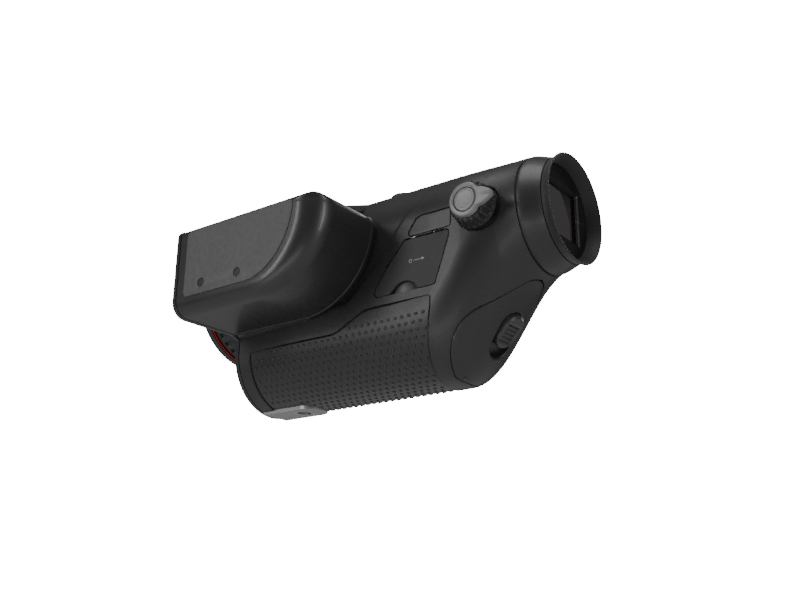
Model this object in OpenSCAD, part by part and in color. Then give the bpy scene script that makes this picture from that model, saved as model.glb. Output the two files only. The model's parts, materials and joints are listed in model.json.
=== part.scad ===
// Handheld thermal-imaging monocular, millimetres, +Z up.
// Origin: mouth of the tripod thread. The objective looks along -Y, the user's eye is at +Y,
// and +X is the user's left, the side with the pod, the port door and the knob.

/* [Barrel and grip] */
// Height of the eyepiece axis above the tripod face
axis_z = 65.3; // [63:0.1:67]
// Width of the grip across its flat sides
grip_w = 54; // [53:0.5:55]
// Radius of the barrel's round top
barrel_r = 24.9; // [24.6:0.1:25.4]
// Rear end of the main housing, at the eyepiece seam
seam_y = 126.5; // [126:0.1:127]
// Front end of the main housing, at the bezel seam
front_y = -18.4; // [-19:0.1:-18]
// Where the heel starts to rise
heel_start = 87; // [86:0.5:88]
// Length over which the heel rises
heel_run = 45; // [44:0.5:46]
// Height that the heel climbs
heel_rise = 42.3; // [42:0.1:42.6]
// Wall of the main housing, pad recess included
wall = 3.4; // [3.2:0.1:3.6]
// Thickness of the rubber grip pad
pad_t = 1.6; // [1.4:0.1:1.8]

/* [Head and pod] */
// Outer face of the left pod, from the centre plane
pod_x = 64.4; // [63:0.1:66]
// Underside of the pod
pod_bottom = 33; // [32:0.5:34]
// Top edge of the pod
pod_top = 72.5; // [72:0.5:73]
// Rear face of the pod
pod_rear = 60.5; // [60:0.5:61]
// Wall of the head shell
head_wall = 2.4; // [2:0.1:2.6]
// Thickness of the front bezel
bezel_t = 3.4; // [3:0.1:4]

/* [Objective] */
// Height of the objective axis
lens_z = 58.4; // [58:0.1:59]
// Outer radius of the focus ring
ring_r = 31; // [30.5:0.1:31.5]
// Distance that the focus ring reaches ahead of the bezel seam
ring_reach = 24; // [23:0.5:25]
// Clear radius of the front lens
lens_r = 24; // [23:0.5:25]

/* [Eyepiece] */
// Radius of the eyecup's lip
lip_r = 23; // [22.8:0.1:23.2]
// Rear edge of the eyecup
lip_y = 140.3; // [140:0.1:140.6]
// Depth of the eyepiece plate inside the lip
plate_depth = 5.5; // [5:0.1:6]
// Width of the rectangular eyepiece opening
view_w = 22.6; // [21:0.1:23]
// Height of the rectangular eyepiece opening
view_h = 20.8; // [20:0.1:21]

/* [Knob] */
// Knob axis, along the barrel
knob_y = 110.5; // [110:0.1:111]
// Knob axis, height
knob_z = 64; // [63.8:0.1:64.2]
// Radius of the knob's skirt
knob_r = 9.2; // [9:0.1:9.4]
// Radius of the knob's face
knob_face_r = 7; // [6.8:0.1:7.2]
// Radius of the push button in the knob
button_r = 4.8; // [4.6:0.1:4.9]

/* [Doors and latch] */
// Thickness of the port door
door_t = 1.8; // [1.6:0.1:2]
// Gap round the doors and panels
gap = 0.35; // [0.3:0.05:0.4]
// Tilt of the battery door's outline, from the vertical
door_tilt = 42; // [41:1:43]
// Travel of the battery latch
latch_travel = 4; // [3.5:0.5:4]

/* [Tripod mount] */
// Wall radius of the tripod thread
thread_r = 3.175; // [3.1:0.025:3.2]
// Depth of the tripod thread
thread_depth = 9; // [8:0.5:9.5]

/* [Hidden] */

half_w = grip_w / 2;
ring_front = front_y - ring_reach;
bezel_front = front_y - bezel_t;
plate_y = lip_y - plate_depth;
seam_r = 24.6;
front_slim = 1.5;
// Stations along the housing, closer together where it slims and where the heel climbs
body_ys = [front_y, -8, 4, 15.6, heel_start, 92, 96.5, 101, 105.5, 110, 114.5, 119, seam_y];
heel_ys = [80, heel_start, 92, 96.5, 101, 105.5, 110, 114.5, 119, 124, 130];
pad_ys = [front_y, -8, 4, 15.6, heel_start, 92];
ring_points = 32;
clear = 0.05;
door_mid_y = 105.75;
door_mid_z = 21.75;
door_low_r = 20.5;
door_high_r = 7;
pod_points = 9;
// Positions are [y, z] on side faces and [x, z] on the front
screw_spots = [[-3.5, 45.1], [18, 45.1]];
bezel_screw_spots = [[58, 44], [58.4, 67], [-31, 42], [-31, 68]];
cheek_x = -36;
head_back = 49;
camera_x = 46;
camera_z = 59;
camera_r = 7.5;
laser_x = 47;
laser_z = 43;
laser_r = 4.2;
barrel_r_out = 27.4;
barrel_in = 19.5;
nose_r = 26.9;
ring_flutes = 40;
// [y, z, width, height] of the connectors' openings
port_spots = [[71, 47, 9.2, 3.4], [84.5, 47, 8.2, 8.2]];
port_hinge_x = half_w - 0.9;
port_hinge_z = 58.65;
port_pin_r = 0.35;
port_door_top = 58.1;
port_bevel = 0.7;
door_skin = 2.4;
hinge_y = 86;
hinge_z = 3.3;
hinge_pin_r = 0.8;
hinge_pin_half = 9.4;
knuckle_r = 2.1;
knuckle_half = 6.5;
door_low_y = 89.5;
well_floor = -1.2;
well_low = -11.8;
well_high = 8.4;
well_r = 6.2;
slider_len = well_high - well_low - latch_travel - 0.8;
slider_top = 4.6;
key_r = 3.4;
key_top = 91;
power_y = 57.3;
key_ys = [70, 80, 90];
knob_base = 26.7;
knob_skirt_h = 6.6;
knob_face_t = 2.4;
knob_flutes = 20;
bush_r = 4;
shaft_r = 2.5;
insert_r = 5.5;
plate_t = 1.8;
plate_half = 7.6;

// ---------------------------------------------------------------- shape of the barrel and grip

function smooth(t) = t <= 0 ? 0 : t >= 1 ? 1 : t * t * (3 - 2 * t);

// Half width at a station: slimmer at the bezel and towards the eyepiece
function side(y) = half_w - front_slim * (1 - smooth((y - front_y) / 34))
    - (half_w - seam_r) * smooth((y - 98) / (seam_y - 98));

// Radius of the round top
function crown(y) = barrel_r - (barrel_r - seam_r) * smooth((y - 66) / (seam_y - 66));

// Height of the bottom line, which climbs at the heel
function keel(y) = heel_rise * smooth((y - heel_start) / heel_run);

// Height of the round bottom above the keel, fuller at the heel
function belly(y) = min(side(y) * (1 + 0.45 * exp(-pow((y - 107) / 20, 2))), axis_z - keel(y));

// A point of the section at station y, at angle a from the top, set in by t
function section_point(y, a, t) = [
    (side(y) - t) * sin(a), y,
    cos(a) >= 0 ? axis_z + (crown(y) - t) * cos(a) : keel(y) + belly(y) + (belly(y) - t) * cos(a)];

// Walls between successive rings of n points, all turned the same way
function ring_walls(rings, n) = [for (i = [0 : rings - 2]) for (j = [0 : n - 1]) for (k = [0, 1])
    let (a = i * n + j, b = i * n + (j + 1) % n, c = a + n, d = b + n)
    k == 0 ? [a, c, b] : [b, c, d]];

// Solid of the barrel and grip through the stations ys, set in by t
module body_solid(ys, t) {
    n = ring_points;
    m = len(ys);
    points = concat([for (y = ys) for (j = [0 : n - 1]) section_point(y, (j + 0.5) * 360 / n, t)],
        [[0, ys[0], 40], [0, ys[m - 1], axis_z]]);
    first = [for (j = [0 : n - 1]) [m * n, j, (j + 1) % n]];
    last = [for (j = [0 : n - 1]) [m * n + 1, (m - 1) * n + (j + 1) % n, (m - 1) * n + j]];
    polyhedron(points = points, faces = concat(ring_walls(m, n), first, last), convexity = 6);
}

// Skin of the barrel and grip through the stations ys, between the insets t_out and t_in
module body_skin(ys, t_out, t_in) {
    n = ring_points;
    m = len(ys);
    back = [for (i = [m - 1 : -1 : 0]) ys[i]];
    points = concat([for (y = ys) for (j = [0 : n - 1]) section_point(y, (j + 0.5) * 360 / n, t_out)],
        [for (y = back) for (j = [0 : n - 1]) section_point(y, (j + 0.5) * 360 / n, t_in)]);
    closing = [for (j = [0 : n - 1]) for (k = [0, 1])
        let (a = (2 * m - 1) * n + j, b = (2 * m - 1) * n + (j + 1) % n, c = j, d = (j + 1) % n)
        k == 0 ? [a, c, b] : [b, c, d]];
    polyhedron(points = points, faces = concat(ring_walls(2 * m, n), closing), convexity = 8);
}

// ---------------------------------------------------------------- shape of the pod and the head

// Outline of the pod in the YZ plane: [y, z, normal y, normal z, edge radius]
function pod_outline() = concat(
    [[front_y, pod_top, 0, 1, 3], [front_y, pod_bottom, 0, -1, 7], [4, pod_bottom, 0, -1, 7]],
    [for (i = [0 : pod_points]) let (a = 90 * i / pod_points, ey = pod_rear - 24, ez = pod_top - 4 - pod_bottom,
        ny = sin(a) / ey, nz = -cos(a) / ez, l = sqrt(ny * ny + nz * nz))
        [24 + ey * sin(a), pod_top - 4 - ez * cos(a), ny / l, nz / l, 7 + 4.6 * smooth(i / pod_points)]],
    [for (i = [1 : 3]) let (a = 30 * i, r = 11.6 - 8.6 * smooth(i / 3),
        py = pod_rear - 4 + 4 * cos(a), pz = pod_top - 4 + 4 * sin(a))
        [py, pz, (py - pod_rear + 11.6 + 0.8 * i) / r, (pz - pod_top + 4 - i / 3) / r, r]],
    [[20, pod_top, 0, 1, 3]]);

// Solid of the pod from x0 to its outer face, set in by t, its front end at y_front
module pod_solid(x0, t, y_front) {
    line = pod_outline();
    n = len(line);
    steps = 3;
    rings = concat(
        [for (s = [steps : -1 : 0]) for (p = line)
            let (r = max(0.7 * p[4] - t, 0.6), f = 90 * s / steps, in = t + r * (1 - cos(f)))
            [x0 + t + r - r * sin(f), p[0] - p[2] * in, p[1] - p[3] * in]],
        [for (s = [0 : steps]) for (p = line)
            let (r = max(p[4] - t, 1), f = 90 * s / steps, in = t + r * (1 - cos(f)))
            [pod_x - t - r + r * sin(f), p[0] - p[2] * in, p[1] - p[3] * in]]);
    points = [for (q = rings) [q[0], q[1] < front_y + 0.001 ? y_front : q[1], q[2]]];
    m = 2 * steps + 2;
    first = [for (j = [0 : n - 1]) [m * n, j, (j + 1) % n]];
    last = [for (j = [0 : n - 1]) [m * n + 1, (m - 1) * n + (j + 1) % n, (m - 1) * n + j]];
    hubs = [[points[0][0], 10, 52], [points[m * n - 1][0], 10, 52]];
    polyhedron(points = concat(points, hubs), faces = concat(ring_walls(m, n), first, last), convexity = 6);
}

// Cylinder along +Y
module rod_y(x, y, z, r, h, n = 72) {
    translate([x, y, z])
        rotate([-90, 0, 0])
            cylinder(r = r, h = h, $fn = n);
}

// Cylinder along +X
module rod_x(x, y, z, r, h) {
    translate([x, y, z])
        rotate([0, 90, 0])
            cylinder(r = r, h = h, $fn = 48);
}

// Turned ring along +Y from a profile of [radius, y] points
module turned(z, profile) {
    translate([0, 0, z])
        rotate([-90, 0, 0])
            rotate_extrude($fn = 96)
                polygon(profile);
}

// Everything above the pod's lower outline, which is grown by g, across the whole width
module above_pod(g) {
    side_prism(-50, 80)
        polygon(concat([[front_y - 5, 120], [front_y - 5, pod_bottom - g]],
            [for (i = [0 : pod_points]) let (a = 90 * i / pod_points)
                [24 + (pod_rear - 24 + g) * sin(a), pod_top - 4 - (pod_top - 4 - pod_bottom + g) * cos(a)]],
            [[pod_rear + g, 120]]));
}

// Roof over the objective, leaning down to the pod, set in by t
module roof_solid(t, y_front) {
    intersection() {
        hull() {
            rod_y(0, y_front, lens_z, 34.5 - t, 24 - y_front, 32);
            rod_y(0, 43, axis_z, crown(43) + 0.4 - t, head_back - 43 - t, 32);
            translate([-30 + t, y_front, 44 + t])
                cube([86 - 2 * t, head_back - t - y_front, pod_top - 44.5 - 2 * t]);
        }
        above_pod(-1);
    }
}

// Whole head, set in by t
module head_solid(t, y_front) {
    roof_solid(t, y_front);
    pod_solid(cheek_x, t, y_front);
}

// ---------------------------------------------------------------- outlines seen from the side

// Grip pad outline in the YZ plane, grown by g
module pad_outline(g) {
    offset(delta = g)
        polygon(concat([[-10, 24.1], [-11.5, 22.6], [-11.5, -3], [80.5, -3]],
            [[81.6, 4], [84.6, 14], [88.2, 27], [88.6, 29.6], [86.5, 31.8]],
            [for (i = [0 : 8]) [58 - 21 * i / 8, 31.8 - 7.7 * smooth(i / 8)]]));
}

// Battery door outline in its own plane, grown by g: wide at the hinge, narrow at the top
module heel_outline(g) {
    hull() {
        translate([0, -7.5])
            circle(r = door_low_r + g, $fn = 64);
        translate([0, 17])
            circle(r = door_high_r + g, $fn = 48);
    }
}

// Outline of the port door in the YZ plane, grown by g
module door_outline(g) {
    offset(delta = g)
        offset(r = 2)
            offset(delta = -2)
                polygon([[76, port_door_top], [98.3, port_door_top], [90.6, 35.9], [58.9, 35.9], [66, 46.5]]);
}

// Outline of the fixed panel above the port door, grown by g
module panel_outline(g) {
    offset(delta = g)
        offset(r = 1.5)
            offset(delta = -1.5)
                polygon([[76.7, 59.1], [98.3, 59.1], [98.6, 66.9], [84, 66.9], [81.5, 65.8]]);
}

// Outline of the nameplate in the YZ plane, grown by g
module name_outline(g) {
    offset(delta = g)
        offset(r = 2)
            offset(delta = -2)
                polygon(concat([[-14, 70.3], [-14, 40.3], [22, 40.3]],
                    [for (i = [0 : 12]) [22 + 25.5 * sin(90 * i / 12), 70.3 - 30 * cos(90 * i / 12)]]));
}

// Front view of head and grip together, in the XZ plane
module front_outline() {
    hull() {
        translate([pod_x - 7, pod_bottom + 7])
            circle(r = 7, $fn = 32);
        translate([pod_x - 3, pod_top - 3])
            circle(r = 3, $fn = 32);
        translate([cheek_x + 4.9, pod_bottom + 4.9])
            circle(r = 4.9, $fn = 32);
        translate([cheek_x + 2.1, pod_top - 2.1])
            circle(r = 2.1, $fn = 32);
    }
    hull() {
        translate([0, lens_z])
            circle(r = 34.5, $fn = 64);
        translate([-30, 44])
            square([86, pod_top - 44.5]);
    }
    hull() {
        translate([0, belly(front_y)])
            circle(r = side(front_y), $fn = 64);
        translate([-side(front_y), 40])
            square([2 * side(front_y), 4]);
    }
}

// Side outline pushed through along X
module side_prism(x0, x1) {
    translate([x0, 0, 0])
        rotate([90, 0, 90])
            linear_extrude(height = x1 - x0)
                children();
}

// Prism square to the battery door, from depth inside its plane to lift outside
module heel_prism(depth, lift) {
    translate([0, door_mid_y, door_mid_z])
        rotate([90 - door_tilt, 0, 0])
            translate([0, 0, -lift])
                linear_extrude(height = depth + lift)
                    children();
}

// Stadium along the latch's travel, between two heights on the door, half width r
module stadium(low, high, r) {
    hull() {
        translate([0, low + r])
            circle(r = r, $fn = 40);
        translate([0, high - r])
            circle(r = r, $fn = 40);
    }
}

// ---------------------------------------------------------------- housing

module main_housing() {
    color([0.09, 0.09, 0.1])
        difference() {
            body_skin(body_ys, 0, wall);
            intersection() {
                above_pod(0.15);
                translate([-40, front_y - 2, pod_bottom - 1])
                    cube([80, head_back - front_y + 1.85, 70]);
            }
            intersection() {
                body_skin(pad_ys, -1, pad_t + clear);
                side_prism(-40, 40)
                    pad_outline(gap);
            }
            intersection() {
                heel_prism(12, 40)
                    heel_outline(gap);
                translate([-30, door_low_y - 0.3, -10])
                    cube([60, 60, 80]);
            }
            translate([half_w - door_t - 0.3, 76, port_hinge_z - 0.45])
                cube([4, 22.8, 1.2]);
            rod_y(port_hinge_x, 75.4, port_hinge_z, port_pin_r + clear, 24.2);
            rod_x(knob_base - 0.35, knob_y, knob_z, knob_r + 0.5, 4);
            translate([half_w - door_t - 0.3, 0, 0])
                side_prism(0, 4) {
                    door_outline(gap);
                    panel_outline(gap);
                }
            for (p = port_spots)
                translate([15, p[0] - p[2] / 2, p[1] - p[3] / 2])
                    cube([12, p[2], p[3]]);
            translate([-knuckle_half - 0.4, 82.6, -1])
                cube([2 * knuckle_half + 0.8, 8, 6.6]);
            rod_x(-hinge_pin_half - 0.1, hinge_y, hinge_z, hinge_pin_r + clear, 2 * hinge_pin_half + 0.2);
            rod_x(15, knob_y, knob_z, bush_r + clear, 14);
            for (y = key_ys)
                translate([0, y, 78])
                    cylinder(r = key_r + 0.35, h = 16, $fn = 40);
            translate([0, power_y, 78])
                linear_extrude(height = 16)
                    power_outline(0.35);
            translate([0, 0, -1])
                cylinder(r = insert_r + clear, h = 8, $fn = 48);
            translate([0, 0, -1])
                linear_extrude(height = 1 + plate_t + clear)
                    plate_outline(0.15);
        }
}

module head_shell() {
    color([0.1, 0.1, 0.11])
        difference() {
            head_solid(0, front_y);
            head_solid(head_wall, front_y - 1);
            body_solid([head_back - 0.15, heel_start], -0.2);
            translate([-22, front_y - 1, pod_bottom - 2])
                cube([44, head_back - front_y - 4, 6]);
            translate([pod_x - 0.75, 0, 0])
                side_prism(0, 2)
                    name_outline(0.1);
            for (p = screw_spots)
                rod_x(pod_x - 6, p[0], p[1], 1.95, 8);
        }
}

module front_bezel() {
    color([0.11, 0.11, 0.12])
        difference() {
            translate([0, front_y - 0.15, 0])
                rotate([90, 0, 0])
                    linear_extrude(height = bezel_t)
                        front_outline();
            rod_y(0, bezel_front - 2, lens_z, barrel_r_out + clear, 8);
            rod_y(camera_x, bezel_front - 2, camera_z, camera_r + clear, 8);
            rod_y(laser_x, bezel_front - 2, laser_z, laser_r + clear, 8);
            for (p = bezel_screw_spots)
                rod_y(p[0], bezel_front - 2, p[1], 1.65, 8);
        }
}

module bezel_screws() {
    color([0.35, 0.35, 0.37])
        for (p = bezel_screw_spots)
            difference() {
                rod_y(p[0], bezel_front + 0.2, p[1], 1.6, 8);
                translate([p[0], bezel_front + 0.1, p[1]])
                    rotate([-90, 0, 0])
                        cylinder(r = 0.9, h = 1.2, $fn = 6);
            }
}

module pod_nameplate() {
    color([0.28, 0.28, 0.29])
        difference() {
            translate([pod_x - 0.7, 0, 0])
                side_prism(0, 0.7)
                    name_outline(0);
            for (p = screw_spots)
                rod_x(pod_x - 2, p[0], p[1], 2.1, 4);
        }
}

module pod_side_screws() {
    color([0.3, 0.3, 0.32])
        for (p = screw_spots)
            difference() {
                union() {
                    rod_x(pod_x - 2, p[0], p[1], 1.85, 1);
                    rod_x(pod_x - 8, p[0], p[1], 1.2, 7);
                }
                translate([pod_x - 1.9, p[0], p[1]])
                    rotate([0, 90, 0])
                        cylinder(r = 0.95, h = 2, $fn = 6);
            }
}

module pod_camera_window() {
    color([0.05, 0.05, 0.07])
        rod_y(camera_x, bezel_front + 0.15, camera_z, camera_r, 1.6);
}

module pod_camera_module() {
    color([0.15, 0.15, 0.16]) {
        rod_y(camera_x, bezel_front + 2.2, camera_z, 6.5, 14);
        translate([camera_x - 9, bezel_front + 16.3, camera_z - 9])
            cube([18, 1.6, 18]);
    }
}

module pod_laser_window() {
    color([0.2, 0.05, 0.06])
        rod_y(laser_x, bezel_front + 0.15, laser_z, laser_r, 1.6);
}

module pod_laser_module() {
    color([0.6, 0.5, 0.25])
        rod_y(laser_x, bezel_front + 2.2, laser_z, 3.2, 20);
}

module grip_pad() {
    color([0.05, 0.05, 0.055])
        difference() {
            intersection() {
                body_skin(pad_ys, 0, pad_t);
                side_prism(-40, 40)
                    pad_outline(0);
            }
            translate([0, 0, -3])
                linear_extrude(height = 8)
                    plate_outline(0.5);
        }
}

// ---------------------------------------------------------------- tripod mount

module plate_outline(g) {
    hull() {
        translate([0, 4])
            circle(r = plate_half + g, $fn = 48);
        translate([-plate_half - g, front_y + 0.1 - g])
            square([2 * plate_half + 2 * g, 4]);
    }
}

module tripod_plate() {
    color([0.2, 0.2, 0.21])
        difference() {
            linear_extrude(height = plate_t)
                plate_outline(0);
            translate([0, 0, -1])
                cylinder(r = insert_r + clear, h = 6, $fn = 48);
        }
}

module tripod_insert() {
    color([0.55, 0.55, 0.56])
        difference() {
            cylinder(r = insert_r, h = 11, $fn = 48);
            translate([0, 0, -1])
                cylinder(r = thread_r, h = 1 + thread_depth, $fn = 48);
        }
}

// ---------------------------------------------------------------- objective

module objective_barrel() {
    color([0.14, 0.14, 0.15])
        turned(lens_z, [[barrel_in, 8], [barrel_r_out - 0.6, 8], [barrel_r_out - 0.6, -15], [barrel_r_out, -15],
            [barrel_r_out, bezel_front - 1], [nose_r, bezel_front - 1], [nose_r, ring_front + 2.4],
            [lens_r + 0.1, ring_front + 2.4], [lens_r + 0.1, ring_front + 11], [lens_r - 2, ring_front + 11],
            [lens_r - 2, -14], [barrel_in, -14]]);
}

module lens_retainer() {
    color([0.06, 0.06, 0.06])
        turned(lens_z, [[lens_r - 1.2, ring_front + 2.6], [lens_r, ring_front + 2.6], [lens_r, ring_front + 4.05],
            [lens_r - 1.6, ring_front + 4.05]]);
}

module objective_lens() {
    color([0.12, 0.1, 0.12])
        turned(lens_z, concat([[0, ring_front + 9.8]], [for (i = [0 : 10]) let (r = (lens_r - 0.1) * (1 - i / 10))
            [r, ring_front + 4.4 - 0.0035 * (lens_r * lens_r - r * r)]]));
}

module lens_seal() {
    color([0.03, 0.03, 0.03])
        turned(lens_z, [[lens_r - 2, ring_front + 9.95], [lens_r, ring_front + 9.95], [lens_r, ring_front + 10.9],
            [lens_r - 2, ring_front + 10.9]]);
}

module rear_lens() {
    color([0.12, 0.1, 0.12])
        turned(lens_z, [[0, -6], [6, -5.6], [12, -4.5], [barrel_in - 0.1, -3], [barrel_in - 0.1, 1], [0, 1]]);
}

module shutter_unit() {
    color([0.12, 0.12, 0.13])
        difference() {
            rod_y(0, 8.6, lens_z, 19, 4);
            rod_y(0, 8, lens_z, 9, 6);
        }
}

module thermal_core() {
    color([0.3, 0.32, 0.3]) {
        translate([-19, 13.2, lens_z - 17])
            cube([38, 22, 34]);
        translate([-16, 35.2, lens_z - 14])
            cube([32, 6, 28]);
    }
}

module focus_ring() {
    color([0.08, 0.08, 0.085])
        difference() {
            turned(lens_z, [[nose_r + 0.3, ring_front + 0.5], [nose_r + 0.8, ring_front], [ring_r - 0.6, ring_front],
                [ring_r, ring_front + 0.6], [ring_r, ring_front + 3.8], [ring_r - 1.6, ring_front + 3.9],
                [ring_r - 1.6, ring_front + 4.9], [ring_r - 0.8, ring_front + 5],
                [ring_r - 0.8, bezel_front - 1.7], [ring_r - 1.4, bezel_front - 1.3], [nose_r + 0.3, bezel_front - 1.3]]);
            for (i = [0 : ring_flutes - 1])
                translate([0, 0, lens_z])
                    rotate([0, i * 360 / ring_flutes, 0])
                        translate([ring_r + 0.6, ring_front + 7, 0])
                            rotate([-90, 0, 0])
                                cylinder(r = 1.9, h = 8, $fn = 16);
        }
}

module red_ring() {
    color([0.6, 0.05, 0.04])
        turned(lens_z, [[ring_r - 1.55, ring_front + 4], [ring_r - 0.2, ring_front + 4],
            [ring_r - 0.2, ring_front + 4.85], [ring_r - 1.55, ring_front + 4.85]]);
}

// ---------------------------------------------------------------- eyepiece

module eyepiece_housing() {
    color([0.09, 0.09, 0.1])
        turned(axis_z, [[19.4, 121], [20.8, 121], [20.8, seam_y + 0.4], [seam_r - 0.2, seam_y + 0.4],
            [seam_r - 0.1, seam_y + 0.8], [seam_r - 0.6, 131], [22.9, 135], [22.1, 136.4], [21, 136.4], [21, 129.5],
            [19.4, 129.5]]);
}

module eyepiece_seal() {
    color([0.02, 0.02, 0.02])
        turned(axis_z, [[21.4, seam_y + 0.05], [24, seam_y + 0.05], [24, seam_y + 0.35], [21.4, seam_y + 0.35]]);
}

module eyecup() {
    color([0.07, 0.07, 0.075])
        turned(axis_z, [[20, 130.2], [20.9, 130.2], [20.9, 136.5], [21.9, 136.6], [22.1, 137.9], [lip_r, 139.5],
            [lip_r, lip_y - 0.3], [lip_r - 0.3, lip_y], [lip_r - 0.7, lip_y - 0.1], [20.2, plate_y], [20, plate_y]]);
}

module eyepiece_plate() {
    color([0.16, 0.16, 0.17])
        difference() {
            rod_y(0, plate_y - 1.6, axis_z, 19.9, 1.6);
            translate([-view_w / 2, plate_y - 3, axis_z - view_h / 2])
                cube([view_w, 6, view_h]);
            translate([-view_w / 2 - 1, plate_y - 0.5, axis_z - view_h / 2 - 1])
                cube([view_w + 2, 2, view_h + 2]);
        }
}

module eyepiece_window() {
    color([0.03, 0.02, 0.025, 0.8])
        translate([-13.4, plate_y - 3, axis_z - 12.6])
            cube([26.8, 1.3, 25.2]);
}

module lens_cell() {
    color([0.1, 0.1, 0.1])
        turned(axis_z, [[16.4, 99], [18, 99], [18, 130.6], [16.4, 130.6], [16.4, 129.4], [16.1, 129.4], [16.1, 113],
            [15, 113], [15, 111], [16.4, 111]]);
}

module eye_lens_front() {
    color([0.7, 0.8, 0.85, 0.4])
        turned(axis_z, concat([for (i = [0 : 8]) [2 * i, 101.2 + 0.008 * 4 * i * i]],
            [for (i = [8 : -1 : 0]) [2 * i, 109 - 0.008 * 4 * i * i]]));
}

module eye_lens_rear() {
    color([0.7, 0.8, 0.85, 0.4])
        turned(axis_z, concat([for (i = [0 : 8]) [2 * i, 116 + 0.01 * 4 * i * i]],
            [for (i = [8 : -1 : 0]) [2 * i, 125.5 - 0.01 * 4 * i * i]]));
}

module microdisplay() {
    color([0.1, 0.25, 0.2]) {
        translate([-9, 92, axis_z - 7])
            cube([18, 2, 14]);
        translate([-13, 90.2, axis_z - 11])
            cube([26, 1.7, 22]);
    }
}

// ---------------------------------------------------------------- electronics

module main_board() {
    color([0.05, 0.3, 0.15])
        translate([-18, 14, 34])
            cube([36, 76, 1.6]);
}

module interface_board() {
    color([0.05, 0.3, 0.15])
        translate([12, 62, 37.5])
            cube([1.6, 27, 20]);
}

module usb_socket() {
    color([0.7, 0.7, 0.72])
        difference() {
            translate([13.8, port_spots[0][0] - 4.5, port_spots[0][1] - 1.6])
                cube([10.8, 9, 3.2]);
            translate([15.8, port_spots[0][0] - 4, port_spots[0][1] - 1.1])
                cube([10, 8, 2.2]);
        }
}

module video_socket() {
    color([0.12, 0.12, 0.12])
        difference() {
            translate([13.8, port_spots[1][0] - 4, port_spots[1][1] - 4])
                cube([10.8, 8, 8]);
            rod_x(16, port_spots[1][0], port_spots[1][1], 1.8, 10);
        }
}

module battery() {
    color([0.15, 0.25, 0.5])
        hull()
            for (x = [-9.4, 9.4])
                rod_y(x, 17, 18.4, 9, 65, 32);
}

module battery_contacts() {
    color([0.85, 0.7, 0.3])
        for (x = [-9.4, 9.4])
            translate([x - 4, 15.6, 14.4])
                cube([8, 1.2, 8]);
}

module battery_cradle() {
    color([0.2, 0.2, 0.2])
        difference() {
            translate([-19, 14, 27.8])
                cube([38, 70, 1.6]);
            for (y = [30, 52, 74])
                translate([0, y, 26])
                    cylinder(r = 5, h = 6, $fn = 32);
        }
}

// ---------------------------------------------------------------- ports

module port_panel() {
    color([0.09, 0.09, 0.1])
        translate([half_w - door_t, 0, 0])
            side_prism(0, door_t)
                panel_outline(0);
}

module port_hinge_pin() {
    color([0.6, 0.6, 0.6])
        rod_y(port_hinge_x, 75.5, port_hinge_z, port_pin_r, 24);
}

module port_door() {
    color([0.09, 0.09, 0.1])
        difference() {
            translate([half_w - door_t, 0, 0])
                side_prism(0, door_t)
                    door_outline(0);
            rod_x(half_w - 1.1, 75.8, 33.2, 7, 4);
            translate([half_w - port_bevel, 70, port_door_top])
                rotate([0, 45, 0])
                    translate([-1, 0, 0])
                        cube([5, 40, 4]);
        }
}

// ---------------------------------------------------------------- battery door

module door_hinge_pin() {
    color([0.6, 0.6, 0.62])
        rod_x(-hinge_pin_half, hinge_y, hinge_z, hinge_pin_r, 2 * hinge_pin_half);
}

module battery_door() {
    color([0.085, 0.085, 0.09])
        difference() {
            union() {
                intersection() {
                    body_skin(heel_ys, 0, door_skin);
                    heel_prism(12, 40)
                        heel_outline(0);
                    translate([-30, door_low_y, -10])
                        cube([60, 60, 80]);
                }
                intersection() {
                    body_solid(heel_ys, 0.4);
                    heel_prism(well_floor + 1.6, 40)
                        stadium(well_low - 1.5, well_high + 1.5, well_r + 1.5);
                }
                rod_x(-knuckle_half, hinge_y, hinge_z, knuckle_r, 2 * knuckle_half);
                translate([-knuckle_half, hinge_y, hinge_z - knuckle_r])
                    cube([2 * knuckle_half, 4.8, 2.2]);
            }
            heel_prism(well_floor, 40)
                stadium(well_low, well_high, well_r);
            rod_x(-knuckle_half - 1, hinge_y, hinge_z, hinge_pin_r + clear, 2 * knuckle_half + 2);
        }
}

module latch_slider() {
    color([0.12, 0.12, 0.13])
        difference() {
            heel_prism(well_floor - 0.1, slider_top)
                stadium(well_high - 0.3 - slider_len, well_high - 0.3, well_r - 0.5);
            for (i = [0 : 4])
                translate([0, door_mid_y, door_mid_z])
                    rotate([90 - door_tilt, 0, 0])
                        translate([-4.2, well_high - 12.6 + 1.9 * i, -slider_top - 0.4])
                            cube([8.4, 0.9, 1]);
        }
}

module latch_spring() {
    color([0.75, 0.75, 0.77])
        translate([0, door_mid_y, door_mid_z])
            rotate([90 - door_tilt, 0, 0])
                translate([-3, well_low + 3, well_floor + 1.65])
                    cube([6, 12, 0.4]);
}

// ---------------------------------------------------------------- keys

module power_outline(g) {
    hull()
        for (x = [-3, 3])
            translate([x, 0])
                circle(r = 5.5 + g, $fn = 40);
}

module power_key() {
    color([0.12, 0.12, 0.13])
        translate([0, power_y, 86.1])
            linear_extrude(height = key_top - 86.1 + 0.4)
                power_outline(0);
}

module round_key(y) {
    color([0.12, 0.12, 0.13])
        translate([0, y, 86.1])
            cylinder(r = key_r, h = key_top - 86.1, $fn = 40);
}

module menu_key() {
    round_key(key_ys[0]);
}

module up_key() {
    round_key(key_ys[1]);
}

module down_key() {
    round_key(key_ys[2]);
}

module key_frame() {
    color([0.05, 0.3, 0.15])
        translate([-7, 50, 83.6])
            cube([14, 45, 1.4]);
}

// ---------------------------------------------------------------- knob

module knob_bush() {
    color([0.7, 0.6, 0.3])
        difference() {
            rod_x(22.2, knob_y, knob_z, bush_r, 4.4);
            rod_x(20, knob_y, knob_z, shaft_r + clear, 10);
        }
}

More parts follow.
